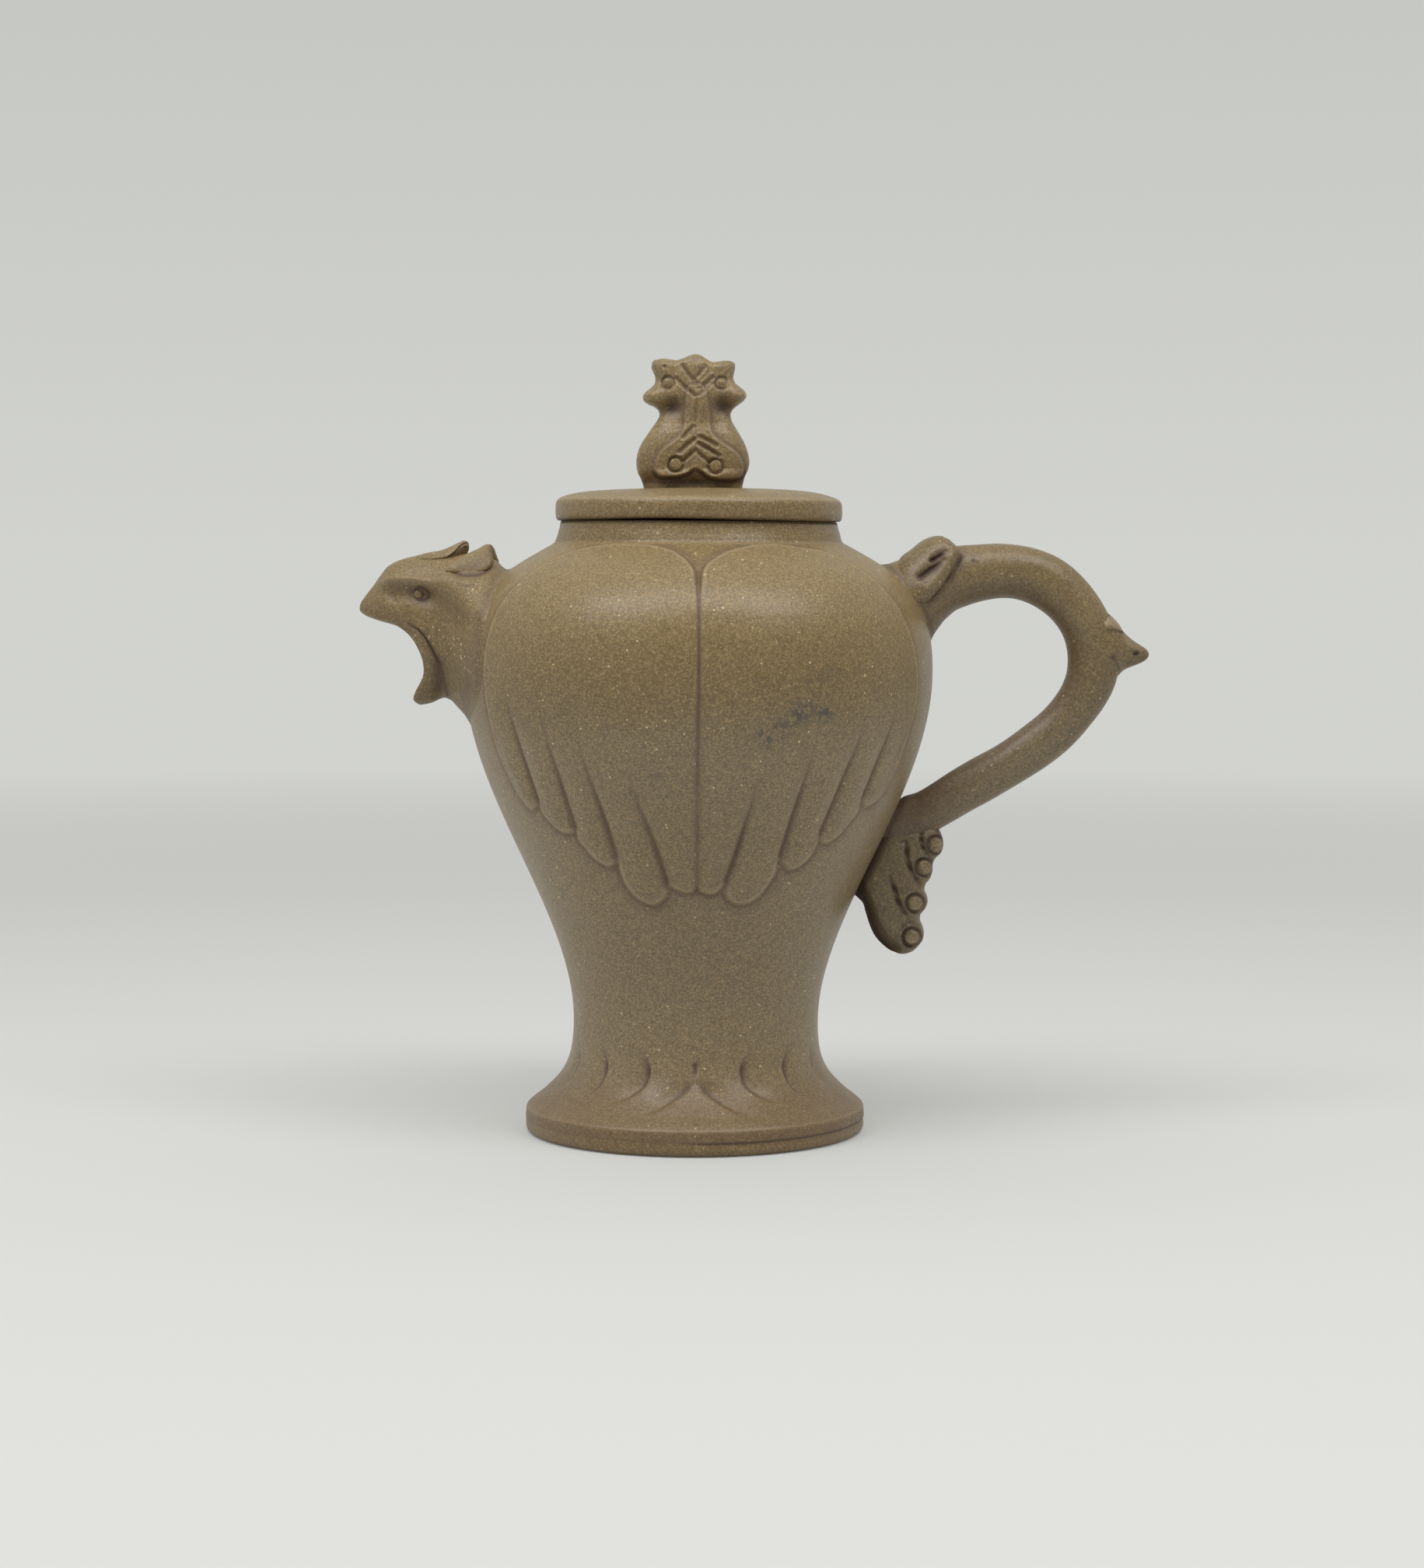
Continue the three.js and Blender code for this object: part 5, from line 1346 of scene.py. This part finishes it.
# %% Lines of the knob, as (x, z)
KNOB_LEFT = [
    (-11.3, 135.2), (-11.2, 136.8), (-11.7, 138.6), (-12.4, 140.0), (-12.7, 141.6), (-12.7, 142.7),
    (-12.4, 144.3), (-11.6, 146.2), (-10.4, 148.0), (-9.3, 149.6), (-8.2, 151.2), (-7.8, 152.2),
    (-7.95, 152.9), (-8.8, 153.8), (-10.3, 154.5), (-11.2, 155.3), (-11.3, 156.1), (-10.7, 157.0),
    (-9.6, 157.9), (-8.8, 158.8), (-8.7, 159.9), (-9.2, 161.2), (-9.5, 162.3), (-9.4, 163.2),
]
KNOB_RIGHT = [
    (9.8, 135.2), (9.7, 136.5), (9.9, 137.9), (10.3, 139.3), (10.9, 140.6), (11.2, 141.9), (11.1, 143.4),
    (10.7, 144.9), (10.1, 146.4), (9.2, 148.0), (8.3, 149.5), (7.4, 151.2), (7.25, 152.4), (7.7, 153.3),
    (8.7, 154.2), (10.1, 155.3), (10.6, 156.2), (10.3, 157.0), (9.4, 157.9), (8.3, 158.8), (7.8, 159.8),
    (8.0, 161.0), (8.2, 162.2), (8.2, 163.0),
]
KNOB_TOP = [
    (-9.5, 162.9), (-9.2, 163.35), (-8.1, 163.8), (-7.0, 164.0), (-5.3, 163.8), (-4.0, 163.7), (-2.6, 164.2),
    (-1.2, 164.8), (0.1, 165.0), (1.1, 164.7), (2.0, 164.1), (3.2, 163.4), (4.6, 163.5), (6.2, 163.7),
    (7.5, 163.5), (8.1, 163.1), (8.3, 162.7),
]
CHEVRONS = [
    ([(-3.0, 162.7), (-1.2, 160.3), (0.5, 158.1)], 0.5), ([(-4.1, 159.9), (-2.6, 158.3), (-0.3, 156.3)], 0.55),
    ([(1.8, 162.4), (0.9, 161.2), (-0.2, 159.9)], 0.35), ([(3.5, 160.1), (2.3, 159.0), (0.7, 157.5)], 0.5),
    ([(3.2, 158.8), (2.0, 157.6), (0.7, 156.5)], 0.3),
    ([(-0.7, 149.7), (-1.6, 148.7), (-2.8, 147.5)], 0.5), ([(-0.4, 147.1), (-2.0, 145.9), (-3.6, 144.4)], 0.6),
    ([(-0.2, 144.8), (-1.4, 143.8), (-2.7, 142.6)], 0.6), ([(0.8, 147.6), (2.4, 146.9), (4.3, 145.7)], 0.55),
    ([(0.6, 146.2), (2.6, 145.1), (4.8, 143.6)], 0.65), ([(0.3, 144.3), (1.5, 143.3), (2.7, 142.3)], 0.55),
]
WING_PANEL = [
    (0, 158.8), (-1.6, 158.2), (-2.1, 156.5), (-2.4, 154.5), (-2.5, 152.5), (-2.5, 151.0), (-2.7, 149.7),
    (-3.3, 148.3), (-4.5, 147.1), (-6.3, 145.7), (-7.9, 144.1), (-8.7, 142.3), (-8.8, 140.6), (-8.1, 139.4),
    (-5.8, 139.1), (-3.5, 139.3), (-1.9, 139.9), (-0.3, 140.9), (1.3, 140.2), (2.6, 139.1), (4.8, 138.6),
    (7.6, 138.6), (9.5, 139.2), (10.0, 140.7), (9.7, 142.5), (8.7, 144.1), (6.9, 145.5), (4.9, 146.9),
    (3.6, 148.3), (3.1, 149.8), (2.9, 151.2), (2.8, 152.6), (2.6, 154.6), (2.3, 156.6), (1.6, 158.2),
]
KNOB_EYES = [(-6.0, 159.0), (5.3, 158.9)]
KNOB_STUDS = [(-4.35, 141.8), (4.1, 141.4)]
KNOB_LUMPS = [  # (x, z, half width, half height, rise)
    (-9.3, 156.2, 2.6, 1.7, 0.5), (8.8, 156.2, 2.6, 1.7, 0.5), (-4.9, 153.9, 2.3, 1.9, -1.8),
    (5.5, 154.1, 2.3, 1.9, -1.8), (-8.3, 160.3, 0.9, 1.2, -0.6), (7.5, 160.2, 0.8, 1.2, -0.45),
    (-6.7, 162.4, 0.4, 0.4, -0.6), (0, 162.6, 1.6, 1.3, 0.4), (-6.8, 162.3, 2.0, 1.2, 0.35),
    (5.8, 162.3, 1.9, 1.2, 0.35), (-9.5, 143.5, 2.4, 5, -0.35), (10, 143.5, 2.2, 5, -0.35),
    (-9.3, 138.9, 2.2, 1.0, -0.5), (0, 138.4, 3.0, 1.2, -0.7),
]
KNOB_ROWS, KNOB_COLUMNS = 290, 240

# %% [markdown]
# The block is made level first and its upper rows then rise to the crown's line, closing to a fold along it,
# since a body between two side lines can't end in a wavy top. Each chevron, ring and lump adds to one height
# for the faces, which is pressed in once at the end.

# %% Knob
KNOB_SWELL = ((0, 0.86), (0.1, 0.9), (0.25, 1), (0.42, 0.92), (0.52, 0.8), (0.62, 0.88), (0.75, 0.88),
              (0.9, 0.78), (1, 0.66))
KNOB_MIDDLE = [(0.1, 156.0), (-0.2, 153.1), (-0.2, 150.0), (0.1, 147.3)]
CAP_FROM, CAP_TO = 158.5, 163.1  # the heights between which the level rows rise to the crown's line
CAP_ROUNDING = 1.5
PANEL_FOOT = (139.5, 141)  # the heights between which the panel's step deepens
PEDESTAL = (137.6, 139.4)  # the heights between which the block narrows to its foot
FOOT_GROOVES = ((138.1, 0.7, 0.6), (136.4, 0.4, 0.5))  # height, width and darkness
knob_depth = corners("knob")[1][1]
thickness = tuple((at, share * knob_depth) for at, share in KNOB_SWELL)
knob, knob_face, v = plate(KNOB_LEFT, KNOB_RIGHT, KNOB_ROWS, KNOB_COLUMNS, thickness, squareness=3.2)
reach_up = np.clip((knob[..., 2] - CAP_FROM) / (CAP_TO - CAP_FROM), 0, 1)
knob[..., 2] += reach_up**1.5 * (follow(knob[..., 0], *KNOB_TOP) - CAP_TO)
below_top = follow(knob[..., 0], *KNOB_TOP) - knob[..., 2]
closing = np.sqrt(np.clip(1 - (1 - np.clip(below_top / CAP_ROUNDING, 0, 1)) ** 2, 0, 1))
knob[..., 1] *= np.where(reach_up > 0, 0.35 + 0.65 * closing, 1)
knob[-1, :, 1] = 0
across, up = side_view(knob).T.reshape(2, *knob.shape[:2])
panel = inward(side_view(knob), smooth_line(WING_PANEL + WING_PANEL[:1], 200)[:-1]).reshape(knob.shape[:2])
drop_below = 1 - fade(knob[..., 2], *PANEL_FOOT)
raise_by = (0.5 + 0.6 * drop_below) * fade(panel, -0.3, 0.3) + 0.12 * bell(panel - 0.35, 0.3)
# Painted shade: under the panel's step, in the chevrons and rings, stronger on their upper left, in the hollows
# under the beaks, along the middle line and in the foot's grooves.
knob_shade = (0.3 + 0.6 * drop_below) * bell(panel + 0.35, 0.4)
# A painted highlight along the panel's edge.
knob_wear_and_highlight = 0.5 * bell(panel - 0.25, 0.25) * (1 - drop_below)
for line, strength in CHEVRONS:
    far, share, _ = carved_line(knob, line, 24)
    raise_by -= strength * 1.2 * bell(far, 0.42) * (0.7 + 0.3 * np.sin(np.pi * share))
    raise_by += 0.1 * bell(far - 0.75, 0.25)
    knob_shade = np.maximum(knob_shade, 0.75 * strength * bell(far, 0.32))
for at, ring, deep in [(eye, 1.25, 0.5) for eye in KNOB_EYES] + [(stud, 1.5, 0.6) for stud in KNOB_STUDS]:
    far = side_far(knob, at) - ring
    raise_by -= deep * bell(far, 0.34)
    knob_shade = np.maximum(knob_shade, (0.25 + 0.5 * one_side(knob, at, 2.6)) * bell(far, 0.3))
for x, z, width_x, width_z, rise in KNOB_LUMPS:
    lump = bell(across - x, width_x) * bell(up - z, width_z)
    raise_by += rise * lump
    knob_shade = np.maximum(knob_shade, -0.42 * rise * lump)
centre_far = carved_line(knob, KNOB_MIDDLE, 30)[0]
raise_by -= 0.22 * bell(centre_far, 0.3)
raise_by -= 0.7 * (1 - fade(knob[..., 2], *PEDESTAL))
foot_shade = [painted_shade * bell(knob[..., 2] - height, width) for height, width, painted_shade in FOOT_GROOVES]
knob_shade = most(knob_shade, 0.35 * bell(centre_far, 0.25), *foot_shade)
carve_faces(knob, knob_face, raise_by)
make_piece("knob_block", knob, ["knob"], "lid", fold=True, finish="knob_clay",
           marks={"shade_and_stain": knob_shade, "wear_and_highlight": knob_wear_and_highlight, "rust_and_shade": 0.4 * bell(panel + 0.25, 0.45)})

for name, side in SIDES:
    for hand, eye, stud in zip(("left", "right"), KNOB_EYES, KNOB_STUDS):
        place = f"{name}_{hand}"
        pellet(f"knob_pupil_{place}", knob, eye, KNOB_EYE_LOOK, side, [f"knob_eye_{place}"], "lid")
        pellet(f"knob_button_{place}", knob, stud, KNOB_STUD_LOOK, side, [f"knob_stud_{place}"], "lid")

# %% [markdown]
# ## The clay
#
# Sandy zisha clay has no glaze. It fires to an olive ochre that wanders between warmer and greyer patches, with
# a darker belt round the widest part of the belly. It holds grains of lighter sand and a few dark ones, and has
# a satin sheen from burnishing. Rust brown round every joint and hollow and purplish brown in every crease are
# partly the clay's colour and partly painted shade, and crests and edges are lightened as a painted highlight.
# The patterns read Object coordinates, which are the same for every piece, so they run on across the joints.
# Shader sums are written as ordinary expressions, with a small class that turns them into Math nodes.

# %% Shader sums


class Wire:
    """A number on its way through a shader. Adding, taking away, multiplying or dividing makes a Math node."""

    def __init__(self, bench, socket):
        self.bench, self.socket = bench, socket

    def join(self, operation, *values):
        return self.bench.node("ShaderNodeMath", {"operation": operation}, dict(enumerate(values)))["Value"]

    def __add__(self, other):
        return self.join("ADD", self, other)

    def __sub__(self, other):
        return self.join("SUBTRACT", self, other)

    def __mul__(self, other):
        return self.join("MULTIPLY", self, other)

    def __truediv__(self, other):
        return self.join("DIVIDE", self, other)

    def __rsub__(self, other):
        return self.join("SUBTRACT", other, self)

    __radd__, __rmul__ = __add__, __mul__

    def limit(self):
        return self.join("MINIMUM", self.join("MAXIMUM", self, 0.0), 1.0)

    def larger(self, other):
        return self.join("MAXIMUM", self, other)


class Outputs:
    """A node's outputs by name, each as a Wire."""

    def __init__(self, bench, made):
        self.bench, self.made = bench, made

    def __getitem__(self, name):
        return Wire(self.bench, self.made.outputs[name])


class Bench:
    """The node tree of a material or of the world, emptied and ready to be filled."""

    def __init__(self, owner):
        owner.use_nodes = True
        self.tree = owner.node_tree
        self.tree.nodes.clear()

    def node(self, kind, settings=None, inputs=None):
        """A node of a kind, with its settings and then its inputs given as numbers, colours or Wires."""
        made = self.tree.nodes.new(kind)
        for key, value in (settings or {}).items():
            setattr(made, key, value)
        for key, value in (inputs or {}).items():
            socket = made.inputs[key]
            if isinstance(value, Wire):
                self.tree.links.new(value.socket, socket)
            else:
                socket.default_value = value
        return Outputs(self, made)

    def mix(self, share, a, b):
        """The colour a where share is 0 and b where it is 1."""
        settings = {"data_type": "RGBA", "clamp_factor": True}
        made = self.node("ShaderNodeMix", settings, {0: share, 6: a, 7: b})
        return Wire(self, made.made.outputs[2])

    def noise(self, place, size, detail=2.0, rough=0.5):
        """Noise between 0 and 1 whose patches are about size millimetres wide."""
        inputs = {"Vector": place, "Scale": 1 / (size * MM), "Detail": detail, "Roughness": rough}
        return self.node("ShaderNodeTexNoise", None, inputs)["Fac"]

    def mark(self, name):
        return self.node("ShaderNodeAttribute", {"attribute_name": name})["Fac"]


# %% [markdown]
# A grain of sand is a cell of a Voronoi pattern. Each cell's random colour decides whether its grain shows and
# how large it is, and the distance to the cell's middle decides where the grain ends. The colour is then built
# up in layers, each a share and a tint, from the clay body to the grains and the marks carried by the meshes,
# some of which are painted shade and painted highlight.

# %% Clay
OCHRE, OLIVE, BELT = (0.238, 0.163, 0.066), (0.240, 0.181, 0.102), (0.130, 0.092, 0.040)
RUST_AND_SHADE_TINT, SHADE_AND_STAIN_TINT, SOOT = (0.108, 0.058, 0.040), (0.058, 0.031, 0.026), (0.062, 0.057, 0.056)
WARM_ABOVE, WARM_BELOW, WARM_BLEND = 91.0, 15.0, 14.0  # heights where the ochre gives way to olive
BELT_LOW, BELT_HIGH, BELT_BLEND = 81.0, 109.0, 11.0  # heights between which the clay is darker, a belt round the belly


def grains(bench, place, spacing, largest, rarity, soft=0.09):
    """1 on grains and 0 between them: a cell shows one of up to the largest radius if its random number is
    above rarity."""
    inputs = {"Vector": place, "Scale": 1 / (spacing * MM), "Randomness": 1.0}
    cell = bench.node("ShaderNodeTexVoronoi", {"feature": "F1"}, inputs)
    pick = bench.node("ShaderNodeSeparateColor", None, {"Color": cell["Color"]})
    size = (pick["Red"] - rarity) / (1 - rarity)
    return ((size * (largest / spacing) - cell["Distance"]) * (spacing / soft)).limit()


def clay(name, tone=1.0, warmth=0.0, grime_and_shade=0.0, dull=0.0):
    """The clay as a finish: tone lightens or darkens it, warmth turns it to ochre, grime_and_shade adds dark
    patches, dirt that partly stands for painted shade, and dull takes some of the sheen off."""
    shade = lambda r, g, b: (r * tone, g * tone, b * tone, 1)
    material = bpy.data.materials.new(name)
    bench = Bench(material)
    place = bench.node("ShaderNodeTexCoord")["Object"]
    height = bench.node("ShaderNodeSeparateXYZ", None, {"Vector": place})["Z"] / MM
    wide, patch = bench.noise(place, 30, 2), bench.noise(place, 5, 3, 0.6)
    sand, dust = bench.noise(place, 0.95, 3, 0.7), bench.noise(place, 0.42, 2, 0.6)
    flattened = bench.node("ShaderNodeMapping", None, {"Vector": place, "Scale": (1, 1, 9)})["Vector"]
    streaks = bench.noise(flattened, 14, 3)
    upper = (height - (WARM_ABOVE - WARM_BLEND / 2)) / WARM_BLEND
    lower = (WARM_BELOW - height) / (WARM_BLEND / 2)
    warm = upper.limit().larger(lower.limit()) * 1.15 + (wide - 0.5) * 1.2 + (patch - 0.5) * 1.1 + warmth
    light = grains(bench, place, 0.85, 0.24, 0.5, 0.08)
    bright = grains(bench, place, 1.9, 0.32, 0.5, 0.1)
    orange = grains(bench, place, 2.3, 0.3, 0.6, 0.1)
    cluster = grains(bench, place, 0.8, 0.34, 0.2, 0.1) * bench.mark("sandy")
    black = grains(bench, place, 1.9, 0.25, 0.68, 0.1)
    belt = ((height - BELT_LOW) / BELT_BLEND).limit() * ((BELT_HIGH - height) / BELT_BLEND).limit()
    shade_and_stain, rust_and_shade, wear_and_highlight = bench.mark("shade_and_stain"), bench.mark("rust_and_shade"), bench.mark("wear_and_highlight")
    soot = bench.noise(place, 1.8, 3, 0.7)
    smoke = (bench.mark("smudge") * ((soot - 0.44) * 8).limit() * (0.6 + sand)).limit()
    dirt_and_shade = ((bench.noise(place, 2.4, 4, 0.7) - 0.5) * 5).limit() * grime_and_shade
    layers = (
        (belt * 0.42, BELT),
        (((0.53 - sand) * 3.4).limit() * 0.42, (0.105, 0.076, 0.042)),
        (((sand - 0.5) * 3.4).limit() * 0.34, (0.42, 0.32, 0.155)),
        (((dust - 0.5) * 5).limit() * 0.50, (0.46, 0.35, 0.175)),
        (((0.5 - dust) * 5).limit() * 0.50, (0.095, 0.068, 0.040)),
        (light * 0.55, (0.56, 0.43, 0.20)),
        (orange * 0.7, (0.52, 0.27, 0.10)),
        (bright.larger(cluster) * 0.85, (0.90, 0.72, 0.40)),
        (black * 0.55, (0.050, 0.038, 0.030)),
        # dark patches: dirt, and on the tail and the handle painted shade as well
        (dirt_and_shade, (0.098, 0.072, 0.056)),
        # painted highlight and wear on crests and edges
        (wear_and_highlight * 0.42, (0.46, 0.35, 0.21)),
        # rust and painted shade round joints and in hollows
        ((rust_and_shade * (0.55 + patch * 0.6)).limit() * 0.85, RUST_AND_SHADE_TINT),
        # painted shade and stains in creases
        ((shade_and_stain * 1.3 * (0.5 + sand)).limit() * 0.85, SHADE_AND_STAIN_TINT),
        (smoke * 0.85, SOOT),
    )
    colour = bench.mix(warm.limit(), shade(*OLIVE), shade(*OCHRE))
    for share, tint in layers:
        colour = bench.mix(share, colour, shade(*tint))
    rough = 0.39 + dull + (patch - 0.5) * 0.14 + shade_and_stain * 0.25 + rust_and_shade * 0.12 + (sand - 0.5) * 0.25
    pitted = bench.noise(place, 2.6, 2)
    bump = sand * 0.6 + dust * 0.3 + light * 0.14 + pitted * 0.4 + streaks * 0.8 - black * 0.2
    relief = bench.node("ShaderNodeBump", None, {"Strength": 0.6, "Distance": 0.00018, "Height": bump})
    shader = bench.node("ShaderNodeBsdfPrincipled", None, {
        "Base Color": colour, "Roughness": rough.limit(), "Normal": relief["Normal"], "IOR": 1.5,
    })
    bench.node("ShaderNodeOutputMaterial", None, {"Surface": shader["BSDF"]})
    return material


# The handle's and the tail's lower tone and their dark patches partly stand for painted shade these parts get
# under the loop.
LOOKS = {  # each finish's tone, warmth, grime with painted shade, and dullness
    "pot_clay": (1.0, 0.0, 0.0, 0.0), "lid_clay": (0.91, 0.0, 0.0, 0.0), "pellet_clay": (1.0, 0.0, 0.0, 0.0),
    "spout_clay": (0.92, 0.0, 0.12, 0.08), "knob_clay": (1.08, -0.4, 0.35, 0.0),
    "handle_clay": (0.82, -0.4, 0.22, 0.0), "tail_clay": (0.72, -0.5, 0.4, 0.0),
}
FINISHES = {name: clay(name, *look) for name, look in LOOKS.items()}
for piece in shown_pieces():
    piece.data.materials.clear()
    piece.data.materials.append(FINISHES[finish_of[piece.name]])

# %% [markdown]
# ## Floor, light and camera
#
# The pot stands on a pale seamless sheet. It could be one diffuse disc, but then its far edge would show as a
# horizon, so the floor keeps the pot's shadow near it and turns into the plain backdrop further out.

# %% Floor
FLOOR_RADIUS, FLOOR_CORNERS = 4.0, 96
floor_mesh = bpy.data.meshes.new("floor")
turn = np.linspace(0, 2 * np.pi, FLOOR_CORNERS, endpoint=False)
floor_points = np.stack([FLOOR_RADIUS * np.cos(turn), FLOOR_RADIUS * np.sin(turn), 0 * turn], 1)
floor_mesh.from_pydata(floor_points.tolist(), [], [list(range(FLOOR_CORNERS))])
floor = bpy.data.objects.new("floor", floor_mesh)
bpy.context.scene.collection.objects.link(floor)
FLOOR_GREY = (0.615, 0.619, 0.604, 1)
BACKDROP_LOW = (0.640, 0.648, 0.622, 1)
BACKDROP_HIGH = (0.560, 0.570, 0.540, 1)
FLOOR_GLOW = 0.25  # the least share of plain backdrop colour in the sheet, which keeps shadows on it light
SHADOW_REACH, SHEET_BLEND = 0.28, 0.9  # metres from the axis to where the backdrop starts, and its blend
floor_material = bpy.data.materials.new("floor")
bench = Bench(floor_material)
place = bench.node("ShaderNodeTexCoord")["Object"]
far = bench.node("ShaderNodeVectorMath", {"operation": "LENGTH"}, {0: place})["Value"]
share = ((far - SHADOW_REACH) / SHEET_BLEND).limit().larger(FLOOR_GLOW)
paper = bench.node("ShaderNodeBsdfDiffuse", None, {"Color": FLOOR_GREY})
glow = bench.node("ShaderNodeEmission", None, {"Color": BACKDROP_LOW, "Strength": 1.0})
sheet = bench.node("ShaderNodeMixShader", None, {0: share, 1: paper["BSDF"], 2: glow["Emission"]})
bench.node("ShaderNodeOutputMaterial", None, {"Surface": sheet["Shader"]})
floor_mesh.materials.append(floor_material)

# %% [markdown]
# A small photo tent lights the pot: white cloth behind and at the sides, dark in front, one wide soft lamp
# overhead and two small ones at the sides. The lamps alone would leave the sides black, and the cloth alone
# would show no highlights. What the lens sees straight on is the plain backdrop, as the cloth itself is out
# of sight.

# %% Light
TENT_FRONT, TENT_BEHIND = (0.175, 0.175, 0.17, 1), (0.92, 0.92, 0.905, 1)
world = bpy.data.worlds.new("tent")
bpy.context.scene.world = world
bench = Bench(world)
direction = bench.node("ShaderNodeTexCoord")["Generated"]
axes = bench.node("ShaderNodeSeparateXYZ", None, {"Vector": direction})
path = bench.node("ShaderNodeLightPath")
behind = ((axes["Y"] - axes["X"] * 0.25 + 0.6) / 1.1).limit()
tent = bench.mix(behind, TENT_FRONT, TENT_BEHIND)
backdrop = bench.mix((axes["Z"] / 0.17).limit(), BACKDROP_LOW, BACKDROP_HIGH)
straight = path["Is Camera Ray"].larger(path["Is Glossy Ray"] * behind).larger(path["Is Transmission Ray"])
seen = bench.mix(straight, tent, backdrop)
glow = bench.node("ShaderNodeBackground", None, {"Color": seen, "Strength": 1.0})
bench.node("ShaderNodeOutputWorld", None, {"Surface": glow["Background"]})


def lamp(name, place, target, size, power):
    """A rectangular soft lamp that faces a target; size is its width and depth."""
    light = bpy.data.lights.new(name, "AREA")
    light.shape, light.energy = "RECTANGLE", power
    light.size, light.size_y = size
    holder = bpy.data.objects.new(name, light)
    holder.location = place
    aim = np.array(target) - np.array(place)
    holder.rotation_euler = Vector(aim).to_track_quat("-Z", "Y").to_euler()
    bpy.context.scene.collection.objects.link(holder)


POT_MIDDLE = (0, 0, 0.08)
lamp("soft_top", (0.0, -0.42, 0.98), POT_MIDDLE, (1.5, 0.42), 7.7)
for name, hand in (("soft_left", -1), ("soft_right", 1)):
    lamp(name, (0.52 * hand, -0.46, 0.84), POT_MIDDLE, (0.34, 0.34), 1.2)

# %% [markdown]
# The camera stands a little above the lid's height and looks slightly down, at the distance at which the
# ellipses of the foot and the lid come out as they were seen.

# %% Camera
CAMERA_AT = (0.0033, -0.7109, 0.12407)
CAMERA_DOWN = 4.03  # degrees below level
SENSOR_WIDTH, FOCAL_LENGTH = 36.0, 76.79
lens = bpy.data.cameras.new("camera")
lens.sensor_width, lens.lens = SENSOR_WIDTH, FOCAL_LENGTH
lens.clip_start, lens.clip_end = 0.01, 50
camera = bpy.data.objects.new("camera", lens)
camera.location = CAMERA_AT
camera.rotation_euler = (np.radians(90 - CAMERA_DOWN), 0, 0)
bpy.context.scene.collection.objects.link(camera)
bpy.context.scene.camera = camera
bpy.context.scene.view_settings.view_transform = "Standard"
